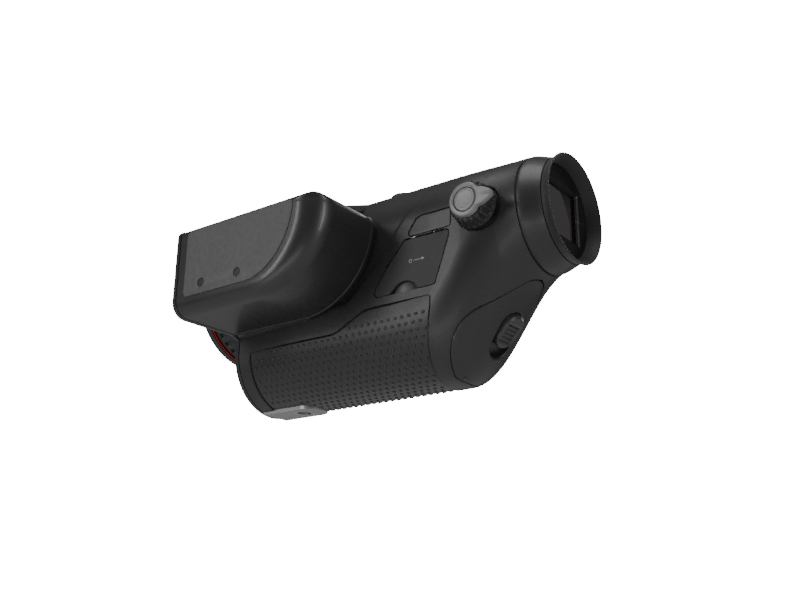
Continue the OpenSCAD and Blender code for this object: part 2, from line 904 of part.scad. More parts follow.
module knob_encoder() {
    color([0.1, 0.1, 0.12])
        difference() {
            translate([18.3, knob_y - 5, knob_z - 5])
                cube([2.7, 10, 10]);
            rod_x(18, knob_y, knob_z, shaft_r + clear, 6);
        }
}

module knob_skirt() {
    color([0.1, 0.1, 0.105])
        difference() {
            union() {
                translate([knob_base, knob_y, knob_z])
                    rotate([0, 90, 0])
                        cylinder(r1 = knob_r, r2 = knob_r - 0.8, h = knob_skirt_h, $fn = 72);
                rod_x(18.6, knob_y, knob_z, shaft_r, knob_base - 17.6);
            }
            for (i = [0 : knob_flutes - 1])
                translate([knob_base + 0.8, knob_y, knob_z])
                    rotate([i * 360 / knob_flutes, 0, 0])
                        translate([0, knob_r + 0.35, 0])
                            rotate([0, 90, 0])
                                cylinder(r = 0.95, h = 12, $fn = 16);
            rod_x(knob_base + knob_skirt_h - 3.4, knob_y, knob_z, button_r + 0.3, 5);
        }
}

module knob_face() {
    color([0.33, 0.33, 0.34])
        difference() {
            hull() {
                rod_x(knob_base + knob_skirt_h + clear, knob_y, knob_z, knob_face_r, knob_face_t);
                rod_x(knob_base + knob_skirt_h + clear, knob_y + 10, knob_z, 2, knob_face_t);
            }
            rod_x(knob_base, knob_y, knob_z, button_r + 0.3, 20);
        }
}

module knob_button() {
    color([0.25, 0.25, 0.26])
        rod_x(knob_base + knob_skirt_h - 2.3, knob_y, knob_z, button_r, knob_face_t + 2.2);
}

module button_dome() {
    color([0.02, 0.02, 0.02])
        translate([knob_base + knob_skirt_h - 3.35, knob_y, knob_z])
            rotate([0, 90, 0])
                cylinder(r1 = 3.5, r2 = 2, h = 0.25, $fn = 32);
}

main_housing();
head_shell();
front_bezel();
pod_nameplate();
pod_side_screws();
pod_camera_window();
pod_laser_window();
pod_camera_module();
pod_laser_module();
bezel_screws();
grip_pad();
tripod_plate();
tripod_insert();
objective_barrel();
objective_lens();
rear_lens();
lens_seal();
thermal_core();
shutter_unit();
focus_ring();
red_ring();
lens_retainer();
eyepiece_housing();
eyecup();
eyepiece_plate();
eyepiece_window();
eye_lens_rear();
eye_lens_front();
lens_cell();
microdisplay();
eyepiece_seal();
main_board();
interface_board();
usb_socket();
video_socket();
battery();
battery_contacts();
battery_cradle();
port_panel();
port_hinge_pin();
port_door();
door_hinge_pin();
battery_door();
latch_slider();
latch_spring();
key_frame();
power_key();
menu_key();
up_key();
down_key();
knob_bush();
knob_encoder();
knob_skirt();
knob_face();
knob_button();
button_dome();
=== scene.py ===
"""Handheld thermal monocular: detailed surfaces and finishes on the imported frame."""

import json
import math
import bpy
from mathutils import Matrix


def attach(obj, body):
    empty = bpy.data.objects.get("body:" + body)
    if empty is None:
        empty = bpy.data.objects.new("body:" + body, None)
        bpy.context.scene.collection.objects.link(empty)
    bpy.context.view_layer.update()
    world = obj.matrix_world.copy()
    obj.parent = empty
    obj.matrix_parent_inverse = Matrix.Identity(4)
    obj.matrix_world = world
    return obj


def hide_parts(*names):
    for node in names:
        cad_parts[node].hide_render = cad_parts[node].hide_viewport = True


bl_info = {
    "name": "Thermal monocular",
    "version": (1, 0, 0),
    "blender": (4, 5, 0),
    "location": "3D View > Sidebar > Monocular",
    "description": "Builds the monocular's housing, pod, grip pad, eyepiece, controls and stage",
    "category": "Object",
}

import bmesh
import bpy
import numpy as np
from mathutils import Matrix

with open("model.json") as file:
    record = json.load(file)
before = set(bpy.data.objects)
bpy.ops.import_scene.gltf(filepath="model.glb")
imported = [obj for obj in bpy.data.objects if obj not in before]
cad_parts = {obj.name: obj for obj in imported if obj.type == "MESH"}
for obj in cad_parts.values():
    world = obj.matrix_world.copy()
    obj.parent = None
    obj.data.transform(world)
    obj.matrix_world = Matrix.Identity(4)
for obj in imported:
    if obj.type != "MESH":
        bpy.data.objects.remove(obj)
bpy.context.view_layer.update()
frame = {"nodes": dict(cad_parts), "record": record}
MM = 0.001

# Main stations in millimetres, as the frame has them
AXIS_Z = 65.3
LENS_Z = 58.4
FRONT = -18.4
BEZEL_FRONT = -21.8
SEAM = 126.5
LIP_Y = 140.3
POD_X = 64.4
KNOB_Y, KNOB_Z, KNOB_BASE = 110.5, 64.0, 26.7
HEEL_ORIGIN = np.array([0.0, 105.75, 21.75])
HEEL_TILT = math.radians(42)


# ---------------------------------------------------------------- mesh helpers


def smooth(t):
    """Eases from 0 to 1 with flat ends: three t squared less two t cubed."""
    t = np.clip(t, 0, 1)
    return t * t * (3 - 2 * t)


def grid_faces(rows, cols, wrap_rows):
    """Quads between neighbouring rows and columns; the columns always close on themselves."""
    i = np.arange(rows if wrap_rows else rows - 1)[:, None]
    j = np.arange(cols)[None, :]
    up, right = (i + 1) % rows, (j + 1) % cols
    quads = np.stack([i * cols + j, i * cols + right, up * cols + right, up * cols + j], -1)
    return quads.reshape(-1, 4)


def loft(loops, wrap=False):
    """Closed skin through loops of points; unless it wraps, each end closes on its own middle."""
    loops = np.asarray(loops, float)
    if not wrap:
        first = np.broadcast_to(loops[0].mean(0), loops[0].shape)
        last = np.broadcast_to(loops[-1].mean(0), loops[-1].shape)
        loops = np.concatenate([first[None], loops, last[None]])
    rows, cols = loops.shape[:2]
    points, faces = loops.reshape(-1, 3), grid_faces(rows, cols, wrap)
    a, b, c, d = (points[faces[:, k]] for k in range(4))
    volume = (np.einsum("ij,ij->i", a, np.cross(b, c)) + np.einsum("ij,ij->i", a, np.cross(c, d))).sum()
    return points, faces if volume > 0 else faces[:, ::-1]


def turned(profile, centre, axis, count=128):
    """Profile of (radius, distance) pairs swept round the axis through centre."""
    profile = np.asarray(profile, float)
    a = np.linspace(0, 2 * np.pi, count, endpoint=False)
    r, s = profile[:, 0, None], profile[:, 1, None]
    u, v, w = r * np.cos(a), r * np.sin(a), s + 0 * a
    stack = {"x": (w, u, v), "y": (u, w, v), "z": (u, v, w)}[axis]
    return np.stack(stack, -1) + np.asarray(centre, float)


def rounded(corners, radius, steps=4):
    """Closed profile with each corner replaced by a short curve that starts and ends radius away from it."""
    p = np.asarray(corners, float)
    back, ahead = np.roll(p, 1, 0) - p, np.roll(p, -1, 0) - p
    reach_back = np.minimum(radius, 0.45 * np.linalg.norm(back, axis=1))[:, None]
    reach_ahead = np.minimum(radius, 0.45 * np.linalg.norm(ahead, axis=1))[:, None]
    a = p + back / np.linalg.norm(back, axis=1)[:, None] * reach_back
    b = p + ahead / np.linalg.norm(ahead, axis=1)[:, None] * reach_ahead
    t = np.linspace(0, 1, steps)[None, :, None]
    curve = (1 - t) ** 2 * a[:, None] + 2 * t * (1 - t) * p[:, None] + t**2 * b[:, None]
    return curve.reshape(-1, 2)


def piece(name, skins, body, material, nodes=(), angle=32):
    """One mesh object from closed skins given in millimetres, riding on body."""
    points, faces, start = [], [], 0
    for p, f in skins:
        points.append(p)
        faces.append(f + start)
        start += len(p)
    mesh = bpy.data.meshes.new(name)
    mesh.from_pydata((np.concatenate(points) * MM).tolist(), [], np.concatenate(faces).tolist())
    bm = bmesh.new()
    bm.from_mesh(mesh)
    bmesh.ops.remove_doubles(bm, verts=bm.verts, dist=2e-6)
    bmesh.ops.dissolve_degenerate(bm, edges=bm.edges, dist=1e-7)
    bm.to_mesh(mesh)
    bm.free()
    mesh.shade_smooth()
    mesh.set_sharp_from_angle(angle=math.radians(angle))
    mesh.materials.append(material)
    obj = bpy.data.objects.new(name, mesh)
    bpy.context.collection.objects.link(obj)
    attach(obj, body)
    if nodes:
        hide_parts(*nodes)
    return obj


class Outline:
    """The tight band round some discs, with straight cuts; u and v are the two directions it lies in."""

    def __init__(self, discs, cuts=(), normals=160):
        a = np.linspace(0, 2 * np.pi, normals, endpoint=False)
        self.n = np.stack([np.cos(a), np.sin(a)], -1)
        discs = np.asarray(discs, float)
        self.h = (self.n @ discs[:, :2].T + discs[:, 2]).max(1)
        for cut in cuts:
            n = np.asarray(cut[:2], float)
            self.n = np.vstack([self.n, n])
            self.h = np.append(self.h, cut[2])

    def away(self, u, v):
        """Distance outside the band, or minus the distance inside: the largest of n.p - h over its normals."""
        best = np.full(np.shape(u), -1e9)
        for n, h in zip(self.n, self.h):
            np.maximum(best, n[0] * u + n[1] * v - h, out=best)
        return best

    def reach(self, centre, a):
        """Distance from centre to the band at angles a: the nearest crossing of the ray with a tangent line."""
        d = np.stack([np.cos(a), np.sin(a)], -1)
        along = d @ self.n.T
        room = self.h - self.n @ np.asarray(centre, float)
        return np.where(along > 1e-6, room / np.maximum(along, 1e-6), 1e9).min(1)


def inset_corners(points, r):
    """Discs of radius r whose band is the convex polygon through points, with its corners rounded."""
    p = np.asarray(points, float)
    a, b = np.roll(p, 1, 0), np.roll(p, -1, 0)
    ua = (a - p) / np.linalg.norm(a - p, axis=1)[:, None]
    ub = (b - p) / np.linalg.norm(b - p, axis=1)[:, None]
    half = np.sqrt((1 - (ua * ub).sum(1)) / 2)
    mid = (ua + ub) / np.linalg.norm(ua + ub, axis=1)[:, None]
    centres = p + mid * (r / half)[:, None]
    return np.column_stack([centres, np.full(len(p), r)])


# ---------------------------------------------------------------- shape of the barrel and grip


def side(y):
    """Half width: 27, 1.5 less at the bezel, easing to 24.6 at the eyepiece."""
    return 27 - 1.5 * (1 - smooth((y - FRONT) / 34)) - 2.4 * smooth((y - 98) / (SEAM - 98))


def crown(y):
    """Radius of the round top, easing from 24.9 to 24.6."""
    return 24.9 - 0.3 * smooth((y - 66) / (SEAM - 66))


def keel(y):
    """Height of the bottom line, which climbs 42.3 along the heel."""
    return 42.3 * smooth((y - 87) / 45)


def belly(y):
    """Height of the round bottom above the keel, fuller at the heel, and never past the eyepiece axis."""
    return np.minimum(side(y) * (1 + 0.45 * np.exp(-(((y - 107) / 20) ** 2))), AXIS_Z - keel(y))


def lengths(y):
    """Lengths of the round top, the straight side and the round bottom of half a section."""
    top = np.pi / 4 * (crown(y) + side(y))
    bottom = np.pi / 4 * (belly(y) + side(y))
    return top, AXIS_Z - keel(y) - belly(y), bottom


def body_point(y, w, t, sign=1.0):
    """Point at station y and share w of the way from the top line to the bottom line, set in by t:
    an ellipse quarter above the axis, a straight side, and an ellipse quarter down to the keel."""
    top, straight, bottom = lengths(y)
    s = w * (top + straight + bottom)
    a_top, a_low = np.pi / 2 * s / top, np.pi / 2 * (1 + (s - top - straight) / bottom)
    upper, lower = s < top, s > top + straight
    a = np.where(upper, a_top, np.where(lower, a_low, np.pi / 2))
    x = (side(y) - t) * np.sin(a)
    low = keel(y) + belly(y)
    z = np.where(
        upper,
        AXIS_Z + (crown(y) - t) * np.cos(a),
        np.where(lower, low + (belly(y) - t) * np.cos(a), AXIS_Z - (s - top)),
    )
    return sign * x, z


def body_distance(x, y, z):
    """Less than 0 inside the barrel and grip: the ellipse or straight rule of the section that z falls in."""
    low = keel(y) + belly(y)
    upper = np.hypot(x / side(y), (z - AXIS_Z) / crown(y)) - 1
    lower = np.hypot(x / side(y), (z - low) / belly(y)) - 1
    return np.where(z > AXIS_Z, upper, np.where(z < low, lower, np.abs(x) / side(y) - 1))


def heel_frame(x, v, d):
    """World point of a place on the battery cover's plane: v up the heel, d inwards."""
    c, s = math.cos(HEEL_TILT), math.sin(HEEL_TILT)
    return np.stack([x, HEEL_ORIGIN[1] + s * v - c * d, HEEL_ORIGIN[2] + c * v + s * d], -1)


def heel_depth(x, v):
    """Depth at which the line square to the cover's plane meets the heel, by halving an interval."""
    low, high = np.full(np.shape(x), -26.0), np.full(np.shape(x), 14.0)
    for _ in range(34):
        mid = (low + high) / 2
        p = heel_frame(x, v, mid)
        inside = body_distance(p[..., 0], p[..., 1], p[..., 2]) < 0
        high, low = np.where(inside, mid, high), np.where(inside, low, mid)
    return high


# ---------------------------------------------------------------- outlines

PORT_DOOR = Outline(inset_corners([(76, 58.1), (98.3, 58.1), (90.6, 35.9), (58.9, 35.9), (66, 46.5)], 2.0))
PORT_PANEL = Outline(inset_corners([(76.7, 59.1), (98.3, 59.1), (98.6, 66.9), (84, 66.9), (81.5, 65.8)], 1.2))
HEEL_DOOR = Outline([(0, -7.5, 20.5), (0, 17, 7)], cuts=[(0, -1, 26.0)])
LATCH_WELL = Outline([(0, -5.6, 6.2), (0, 2.2, 6.2)])
POWER_KEY = Outline([(-3, 57.3, 5.5), (3, 57.3, 5.5)])
TRIPOD_PLATE = Outline(
    inset_corners([(-7.6, FRONT + 0.1), (7.6, FRONT + 0.1), (7.6, 4), (-7.6, 4)], 0.2).tolist() + [[0, 4, 7.6]]
)
KEY_STATIONS = (70.0, 80.0, 90.0)
# Openings for the connectors behind the port cover: y, z, width, height
PORTS = ((71.0, 47.0, 9.6, 3.8), (84.5, 47.0, 8.6, 8.6))
BAY_DEPTH = 9.5
GAP = 0.35
PAD_FRONT, PAD_REAR, PAD_ROUND, PAD_EDGE = -11.5, 88.4, 27, 0.55
RING_FRONT = FRONT - 24


def pad_top(y):
    """Height of the pad's top edge: 24.1 under the pod, then an S-curve up to 31.8."""
    return 31.8 - 7.7 * smooth((58 - y) / 21)


def pad_rear(z):
    """Station of the pad's rear edge at height z, leaning back as it climbs."""
    return np.interp(z, [0, 4, 14, 27, 32], [80.5, 81.6, 84.6, 88.2, 88.7])


def pad_away(y, z):
    """Distance outside the pad: the largest of its front, rear and top rules, with rounded corners."""
    ends = np.maximum(PAD_FRONT - y, y - pad_rear(z))
    top = z - pad_top(y)
    soft = np.maximum(2.4 - np.abs(ends - top), 0) ** 2 / 9.6
    return np.maximum(ends, top) + soft


def carve(y, w, sign):
    """Distance to the nearest pocket's edge, and how deep the pocket is, for points of the housing."""
    x, z = body_point(y, w, 0, sign)
    upper, lower = w < 0.25, w > 0.6
    far = np.full(np.shape(y), 9.0)
    c, s = math.cos(HEEL_TILT), math.sin(HEEL_TILT)
    v = (y - HEEL_ORIGIN[1]) * s + (z - HEEL_ORIGIN[2]) * c
    heel = np.where(lower & (y > 84), HEEL_DOOR.away(x, v), far)
    edges = [(pad_away(y, z) - GAP, 1.9), (heel - GAP, 2.9), (heel + 2.4, BAY_DEPTH)]
    if sign > 0:
        edges.append((PORT_DOOR.away(y, z) - GAP, 2.2))
        edges.append((PORT_PANEL.away(y, z) - GAP, 2.2))
        edges.append((np.hypot(y - KNOB_Y, z - KNOB_Z) - 9.8, 0.9))
        for at_y, at_z, wide, high in PORTS:
            edges.append((np.maximum(np.abs(y - at_y) - wide / 2, np.abs(z - at_z) - high / 2), 3.3))
    edges.append((np.where(upper, POWER_KEY.away(x, y) - 0.4, far), 2.4))
    for station in KEY_STATIONS:
        edges.append((np.where(upper, np.hypot(x, y - station) - 3.8, far), 2.4))
    edges.append((np.where(lower, TRIPOD_PLATE.away(x, y) - 0.2, far), 1.95))
    nearest, depth = far, np.zeros(np.shape(y))
    for away, deep in edges:
        nearest = np.where(np.abs(away) < np.abs(nearest), away, nearest)
        depth = np.maximum(depth, np.where(away < -0.02, deep, 0))
    return nearest, depth


def neck(y, z):
    """Sunken neck between the pod and the style line: 0.9 deep, with a crisp step at the line."""
    heights = [34, 48.4, 52.7, 57.6, 63.4, 69.9, 76, 81.4, 90.3]
    line = np.interp(z, heights, [43, 59.7, 64.3, 68.4, 71.9, 77.1, 82.7, 88.2, 101])
    step = smooth((line - y) / 1.1) * smooth((z - 35) / 4) * (1 - smooth((z - 80) / 6))
    return 0.9 * step


def half_body(ys, count, sign):
    """Half of the housing's skin: a grid in y and w whose points near a pocket's edge move onto it,
    by one Newton step along the rise of the distance in grid steps."""
    ws = np.linspace(0, 1, count)
    y, w = np.meshgrid(ys, ws, indexing="ij")
    dy, dw = np.gradient(ys)[:, None] + 0 * w, np.full(np.shape(w), ws[1] - ws[0])
    for _ in range(3):
        away, _unused = carve(y, w, sign)
        step = 0.02
        gy = (carve(y + step * dy, w, sign)[0] - away) / step
        gw = (carve(y, np.clip(w + step * dw, 0, 1), sign)[0] - away) / step
        norm = gy**2 + gw**2 + 1e-12
        move = (np.abs(away) < 0.56 * np.sqrt(norm)) & (norm > 1e-6)
        move &= (w > 0) & (w < 1) & (y > ys[1]) & (y < ys[-2])
        y = y - np.where(move, away * gy / norm, 0) * dy
        w = np.clip(w - np.where(move, away * gw / norm, 0) * dw, 0, 1)
    _unused, depth = carve(y, w, sign)
    _unused, z = body_point(y, w, 0, sign)
    x, z = body_point(y, w, np.maximum(depth, neck(y, z) * (depth < 1)), sign)
    return np.stack([x, y, z], -1)


# ---------------------------------------------------------------- shader helpers


class Sock:
    """A shader socket with arithmetic: an expression on sockets and numbers adds its Math nodes."""

    def __init__(self, graph, socket):
        self.graph, self.socket = graph, socket

    def _math(self, operation, *values):
        return self.graph.node("ShaderNodeMath", {"operation": operation}, dict(enumerate(values)))

    def __add__(self, other):
        return self._math("ADD", self, other)

    def __sub__(self, other):
        return self._math("SUBTRACT", self, other)

    def __mul__(self, other):
        return self._math("MULTIPLY", self, other)

    def __truediv__(self, other):
        return self._math("DIVIDE", self, other)

    def __rsub__(self, other):
        return self._math("SUBTRACT", other, self)

    __radd__, __rmul__ = __add__, __mul__

    def power(self, other):
        return self._math("POWER", self, other)

    def clamp(self):
        return self._math("MAXIMUM", self._math("MINIMUM", self, 1.0), 0.0)


class Graph:
    """Node tree of one material."""

    def __init__(self, name):
        self.material = bpy.data.materials.new(name)
        self.material.use_nodes = True
        self.tree = self.material.node_tree
        self.shader = self.tree.nodes["Principled BSDF"]

    def node(self, kind, settings=None, inputs=None, output=0):
        """Adds a node, first its settings, then the values or links of its sockets, and gives one output."""
        made = self.tree.nodes.new(kind)
        for key, value in (settings or {}).items():
            if key == "stops":
                for stop, (place, colour) in zip(made.color_ramp.elements, value):
                    stop.position, stop.color = place, colour
            else:
                setattr(made, key, value)
        for key, value in (inputs or {}).items():
            self.put(made.inputs[key], value)
        return Sock(self, made.outputs[output])

    def put(self, socket, value):
        if isinstance(value, Sock):
            self.tree.links.new(value.socket, socket)
        else:
            socket.default_value = value

    def where(self, scale=(1, 1, 1)):
        """Object coordinates, stretched by scale."""
        place = self.node("ShaderNodeTexCoord", output="Object")
        return self.node("ShaderNodeMapping", None, {"Vector": place, "Scale": scale})

    def noise(self, scale, detail=2.0, stretch=(1, 1, 1), rough=0.5):
        return self.node(
            "ShaderNodeTexNoise", None, {
                "Vector": self.where(stretch), "Scale": scale, "Detail": detail, "Roughness": rough
            }
        )

    def mix(self, share, a, b):
        """Mixes two colours by share."""
        made = self.tree.nodes.new("ShaderNodeMix")
        made.data_type = "RGBA"
        self.put(made.inputs[0], share)
        self.put(made.inputs[6], a)
        self.put(made.inputs[7], b)
        return Sock(self, made.outputs[2])

    def bump(self, height, strength, distance, normal=None):
        inputs = {"Height": height, "Strength": strength, "Distance": distance}
        if normal is not None:
            inputs["Normal"] = normal
        return self.node("ShaderNodeBump", None, inputs)

    def finish(self, **sockets):
        for key, value in sockets.items():
            self.put(self.shader.inputs[key.replace("_", " ")], value)
        return self.material


def tint(colour, gain):
    return tuple(min(1.0, c * gain) for c in colour[:3]) + (1.0,)


def moulded(name, colour, rough=0.45, grain=2600, depth=0.02, wear=0.25, coat=0.0, metallic=0.0, gain=0.32):
    """Moulded or painted shell: fine erosion grain in the bump, soft blotches of gloss and tone, worn edges."""
    g = Graph(name)
    fine, cloud = g.noise(grain, 3.0), g.noise(38, 3.0)
    edge = g.node("ShaderNodeNewGeometry", output="Pointiness")
    worn = ((edge - 0.56) * 9).clamp() * g.noise(420, 4.0) * wear
    tone = g.mix(cloud, tint(colour, gain * 0.85), tint(colour, gain * 1.15))
    return g.finish(
        Base_Color=g.mix(worn, tone, tint([0.35 + c for c in colour[:3]], 1)),
        Roughness=(rough + (cloud - 0.5) * 0.16 + (fine - 0.5) * 0.1).clamp(),
        Metallic=metallic,
        Coat_Weight=coat,
        Normal=g.bump(fine, 0.5, depth * MM),
    )


def rubbery(name, colour, rough=0.72):
    """Soft rubber: matt, with dust in the tone, a very fine grain and a faint sheen."""
    g = Graph(name)
    fine, cloud = g.noise(3400, 2.0), g.noise(60, 5.0, rough=0.7)
    dust = ((cloud - 0.52) * 3).clamp() * 0.35
    g.shader.inputs["Sheen Weight"].default_value = 0.12
    return g.finish(
        Base_Color=g.mix(dust, tint(colour, 0.36), tint([c + 0.02 for c in colour[:3]], 0.45)),
        Roughness=(rough + (cloud - 0.5) * 0.2).clamp(),
        Normal=g.bump(fine, 0.6, 0.03 * MM),
    )


def machined(name, colour, rough=0.3, stretch=(1, 60, 1)):
    """Bare or anodised metal with drawn tool lines across the stretch."""
    g = Graph(name)
    lines, cloud = g.noise(60, 3.0, stretch), g.noise(90, 2.0)
    return g.finish(
        Base_Color=g.mix(cloud, tint(colour, 0.8), tint(colour, 1.15)),
        Roughness=(rough + (lines - 0.5) * 0.3).clamp(),
        Metallic=1.0,
        Normal=g.bump(lines, 0.25, 0.02 * MM),
    )


def coated_glass(name, colour, rough=0.03, glow=(0.1, 0.02, 0.02)):
    """Dark coated glass: near-mirror, with a faint coloured bloom that drifts over it."""
    g = Graph(name)
    cloud = g.noise(45, 2.0)
    smear = g.noise(240, 4.0, (1, 0.2, 1))
    g.shader.inputs["IOR"].default_value = 1.9
    return g.finish(
        Base_Color=g.mix(cloud, tint(colour, 1), tint([c + d for c, d in zip(colour, glow)], 1)),
        Roughness=(rough + smear * 0.05).clamp(),
        Coat_Weight=1.0,
    )


def board(name, colour):
    """Circuit board: solder mask with a lattice of paler tracks."""
    g = Graph(name)
    inputs = {"Vector": g.where((1, 1, 1)), "Scale": 260.0, "Mortar Size": 0.05}
    inputs |= {"Color1": tint(colour, 1), "Color2": tint(colour, 0.7), "Mortar": tint(colour, 2.4)}
    tracks = g.node("ShaderNodeTexBrick", {"offset": 0.5}, inputs)
    return g.finish(Base_Color=tracks, Roughness=0.35 + g.noise(300) * 0.2)


FINISHES = {
    "body_plastic": lambda c: moulded("body_plastic", c, rough=0.42, coat=0.05),
    "pod_plastic": lambda c: moulded("pod_plastic", c, rough=0.36, coat=0.1),
    "nameplate": lambda c: moulded("nameplate", c, rough=0.5, grain=4200, depth=0.012, metallic=0.35, gain=0.6),
    "grip_rubber": lambda c: rubbery("grip_rubber", c, 0.4),
    "soft_rubber": lambda c: rubbery("soft_rubber", c, 0.55),
    "ring_rubber": lambda c: moulded("ring_rubber", c, rough=0.5),
    "red_anodised": lambda c: machined("red_anodised", c, 0.35),
    "black_metal": lambda c: moulded("black_metal", c, rough=0.35, grain=5200, depth=0.008, metallic=0.6),
    "grey_metal": lambda c: moulded(
        "grey_metal", c, rough=0.38, grain=4600, depth=0.01, metallic=0.7, gain=2.2
    ),
    "steel": lambda c: machined("steel", c, 0.28),
    "brass": lambda c: machined("brass", c, 0.25),
    "gold_contact": lambda c: machined("gold_contact", c, 0.2),
    "germanium": lambda c: coated_glass("germanium", c, 0.05, (0.05, 0.02, 0.06)),
    "dark_glass": lambda c: coated_glass("dark_glass", tint(c, 0.3), 0.02, (0.004, 0.002, 0.006)),
    "eye_glass": lambda c: coated_glass("eye_glass", tint(c, 0.3), 0.02, (0.004, 0.006, 0.01)),
    "knob_grey": lambda c: moulded("knob_grey", c, rough=0.4, grain=4200, depth=0.01, metallic=0.25, gain=1.0),
    "key_plastic": lambda c: moulded("key_plastic", c, rough=0.45, gain=0.6),
    "board_green": lambda c: board("board_green", c),
    "core_metal": lambda c: machined("core_metal", c, 0.4, (1, 1, 1)),
    "inner_plastic": lambda c: moulded("inner_plastic", c, rough=0.55),
    "battery_wrap": lambda c: moulded("battery_wrap", c, rough=0.3, coat=0.3),
}

MATERIALS = {}


def finish_of(slot):
    """The material of one of the record's slots, made once, in the colour the record gives it."""
    if slot not in MATERIALS:
        entry = next(m for m in frame["record"]["materials"] if m["slot"] == slot)
        MATERIALS[slot] = FINISHES[slot](entry["base_color"])
    return MATERIALS[slot]


def settings():
    return bpy.context.scene.monocular_sizes


# ---------------------------------------------------------------- pieces of the body


def build_housing():
    """Left and right halves of the skin joined into loops, then back along an inner skin 3.6 mm further in,
    or just under the floor of the battery bay."""
    left_count, right_count = 236, 122
    stations = [np.linspace(FRONT, 20, 66), np.linspace(20, SEAM, 208), [FRONT + 0.3, SEAM - 0.3]]
    ys = np.unique(np.concatenate(stations))
    left, right = half_body(ys, left_count, 1.0), half_body(ys, right_count, -1.0)
    outer = np.concatenate([left, right[:, -2:0:-1]], 1)
    chamfer = outer.copy()
    for row, inset in ((0, 0.35), (-1, 0.3)):
        middle = chamfer[row].mean(0)
        out = chamfer[row] - middle
        chamfer[row] -= inset * out / np.linalg.norm(out, axis=1)[:, None]
    back = np.linspace(SEAM, FRONT, 90)
    ws = np.concatenate([np.linspace(0, 1, left_count), np.linspace(0, 1, right_count)[-2:0:-1]])
    signs = np.concatenate([np.ones(left_count), -np.ones(right_count - 2)])
    y, w = np.meshgrid(back, ws, indexing="ij")
    x, z = body_point(y, w, 0, signs[None, :])
    v = (y - HEEL_ORIGIN[1]) * math.sin(HEEL_TILT) + (z - HEEL_ORIGIN[2]) * math.cos(HEEL_TILT)
    bay = (w > 0.6) & (y > 84) & (HEEL_DOOR.away(x, v) < -0.9)
    x, z = body_point(y, w, np.where(bay, BAY_DEPTH + 0.8, 3.6), signs[None, :])
    inner = np.stack([x, y, z], -1)
    return [loft(np.concatenate([chamfer, inner]), wrap=True)]


def pad_sheet(u, v, t):
    """Pad skin: u runs from front edge to rear edge, v from one top edge under the belly to the other."""
    u, v = np.meshgrid(u, v, indexing="ij")
    nominal = PAD_FRONT + u * (PAD_REAR - PAD_FRONT)
    to_front, to_rear = nominal - PAD_FRONT, PAD_REAR - nominal
    drop = sum(
        r - np.sqrt(np.maximum(r * r - np.maximum(r - d, 0) ** 2, 0))
        for r, d in ((1.6, to_front), (2.6, to_rear))
    )
    z_top = pad_top(nominal) - drop
    r, quarter = PAD_ROUND, PAD_ROUND * np.pi / 2
    s_top = np.where(z_top < r, r * np.arccos(np.clip(1 - z_top / r, -1, 1)), quarter + z_top - r)
    s = np.abs(v) * s_top
    z = np.where(s < quarter, r * (1 - np.cos(s / r)), r + s - quarter)
    y = PAD_FRONT + u * (pad_rear(z) - PAD_FRONT)
    top, straight, bottom = lengths(y)
    w = 1 - s / (top + straight + bottom)
    edge = np.minimum(np.minimum(to_front, to_rear), s_top - s)
    inwards = 1 - np.clip(edge / PAD_EDGE, 0, 1)
    x, z = body_point(y, w, t + PAD_EDGE * (1 - np.sqrt(np.clip(1 - inwards**2, 0, 1))), np.sign(v))
    return np.stack([x, y, z], -1)


def clustered(count, tight):
    """Shares from 0 to 1, closer together near both ends."""
    t = np.linspace(0, 1, count)
    return (1 - tight) * t + tight * (1 - np.cos(np.pi * t)) / 2


def build_pad():
    """Top sheet 0.45 mm below the housing's skin and a bottom sheet, closed all round."""
    u, v = clustered(150, 0.75), np.concatenate([-clustered(110, 0.7)[:0:-1], clustered(110, 0.7)])
    top, low = pad_sheet(u, v, 0.45), pad_sheet(u, v, 1.75)
    loops = np.concatenate([top, low[:, ::-1]], 1)
    ends = [np.concatenate([(top[k] + low[k]) / 2, ((top[k] + low[k]) / 2)[::-1]]) for k in (0, -1)]
    return [loft(np.concatenate([ends[0][None], loops, ends[1][None]]))]


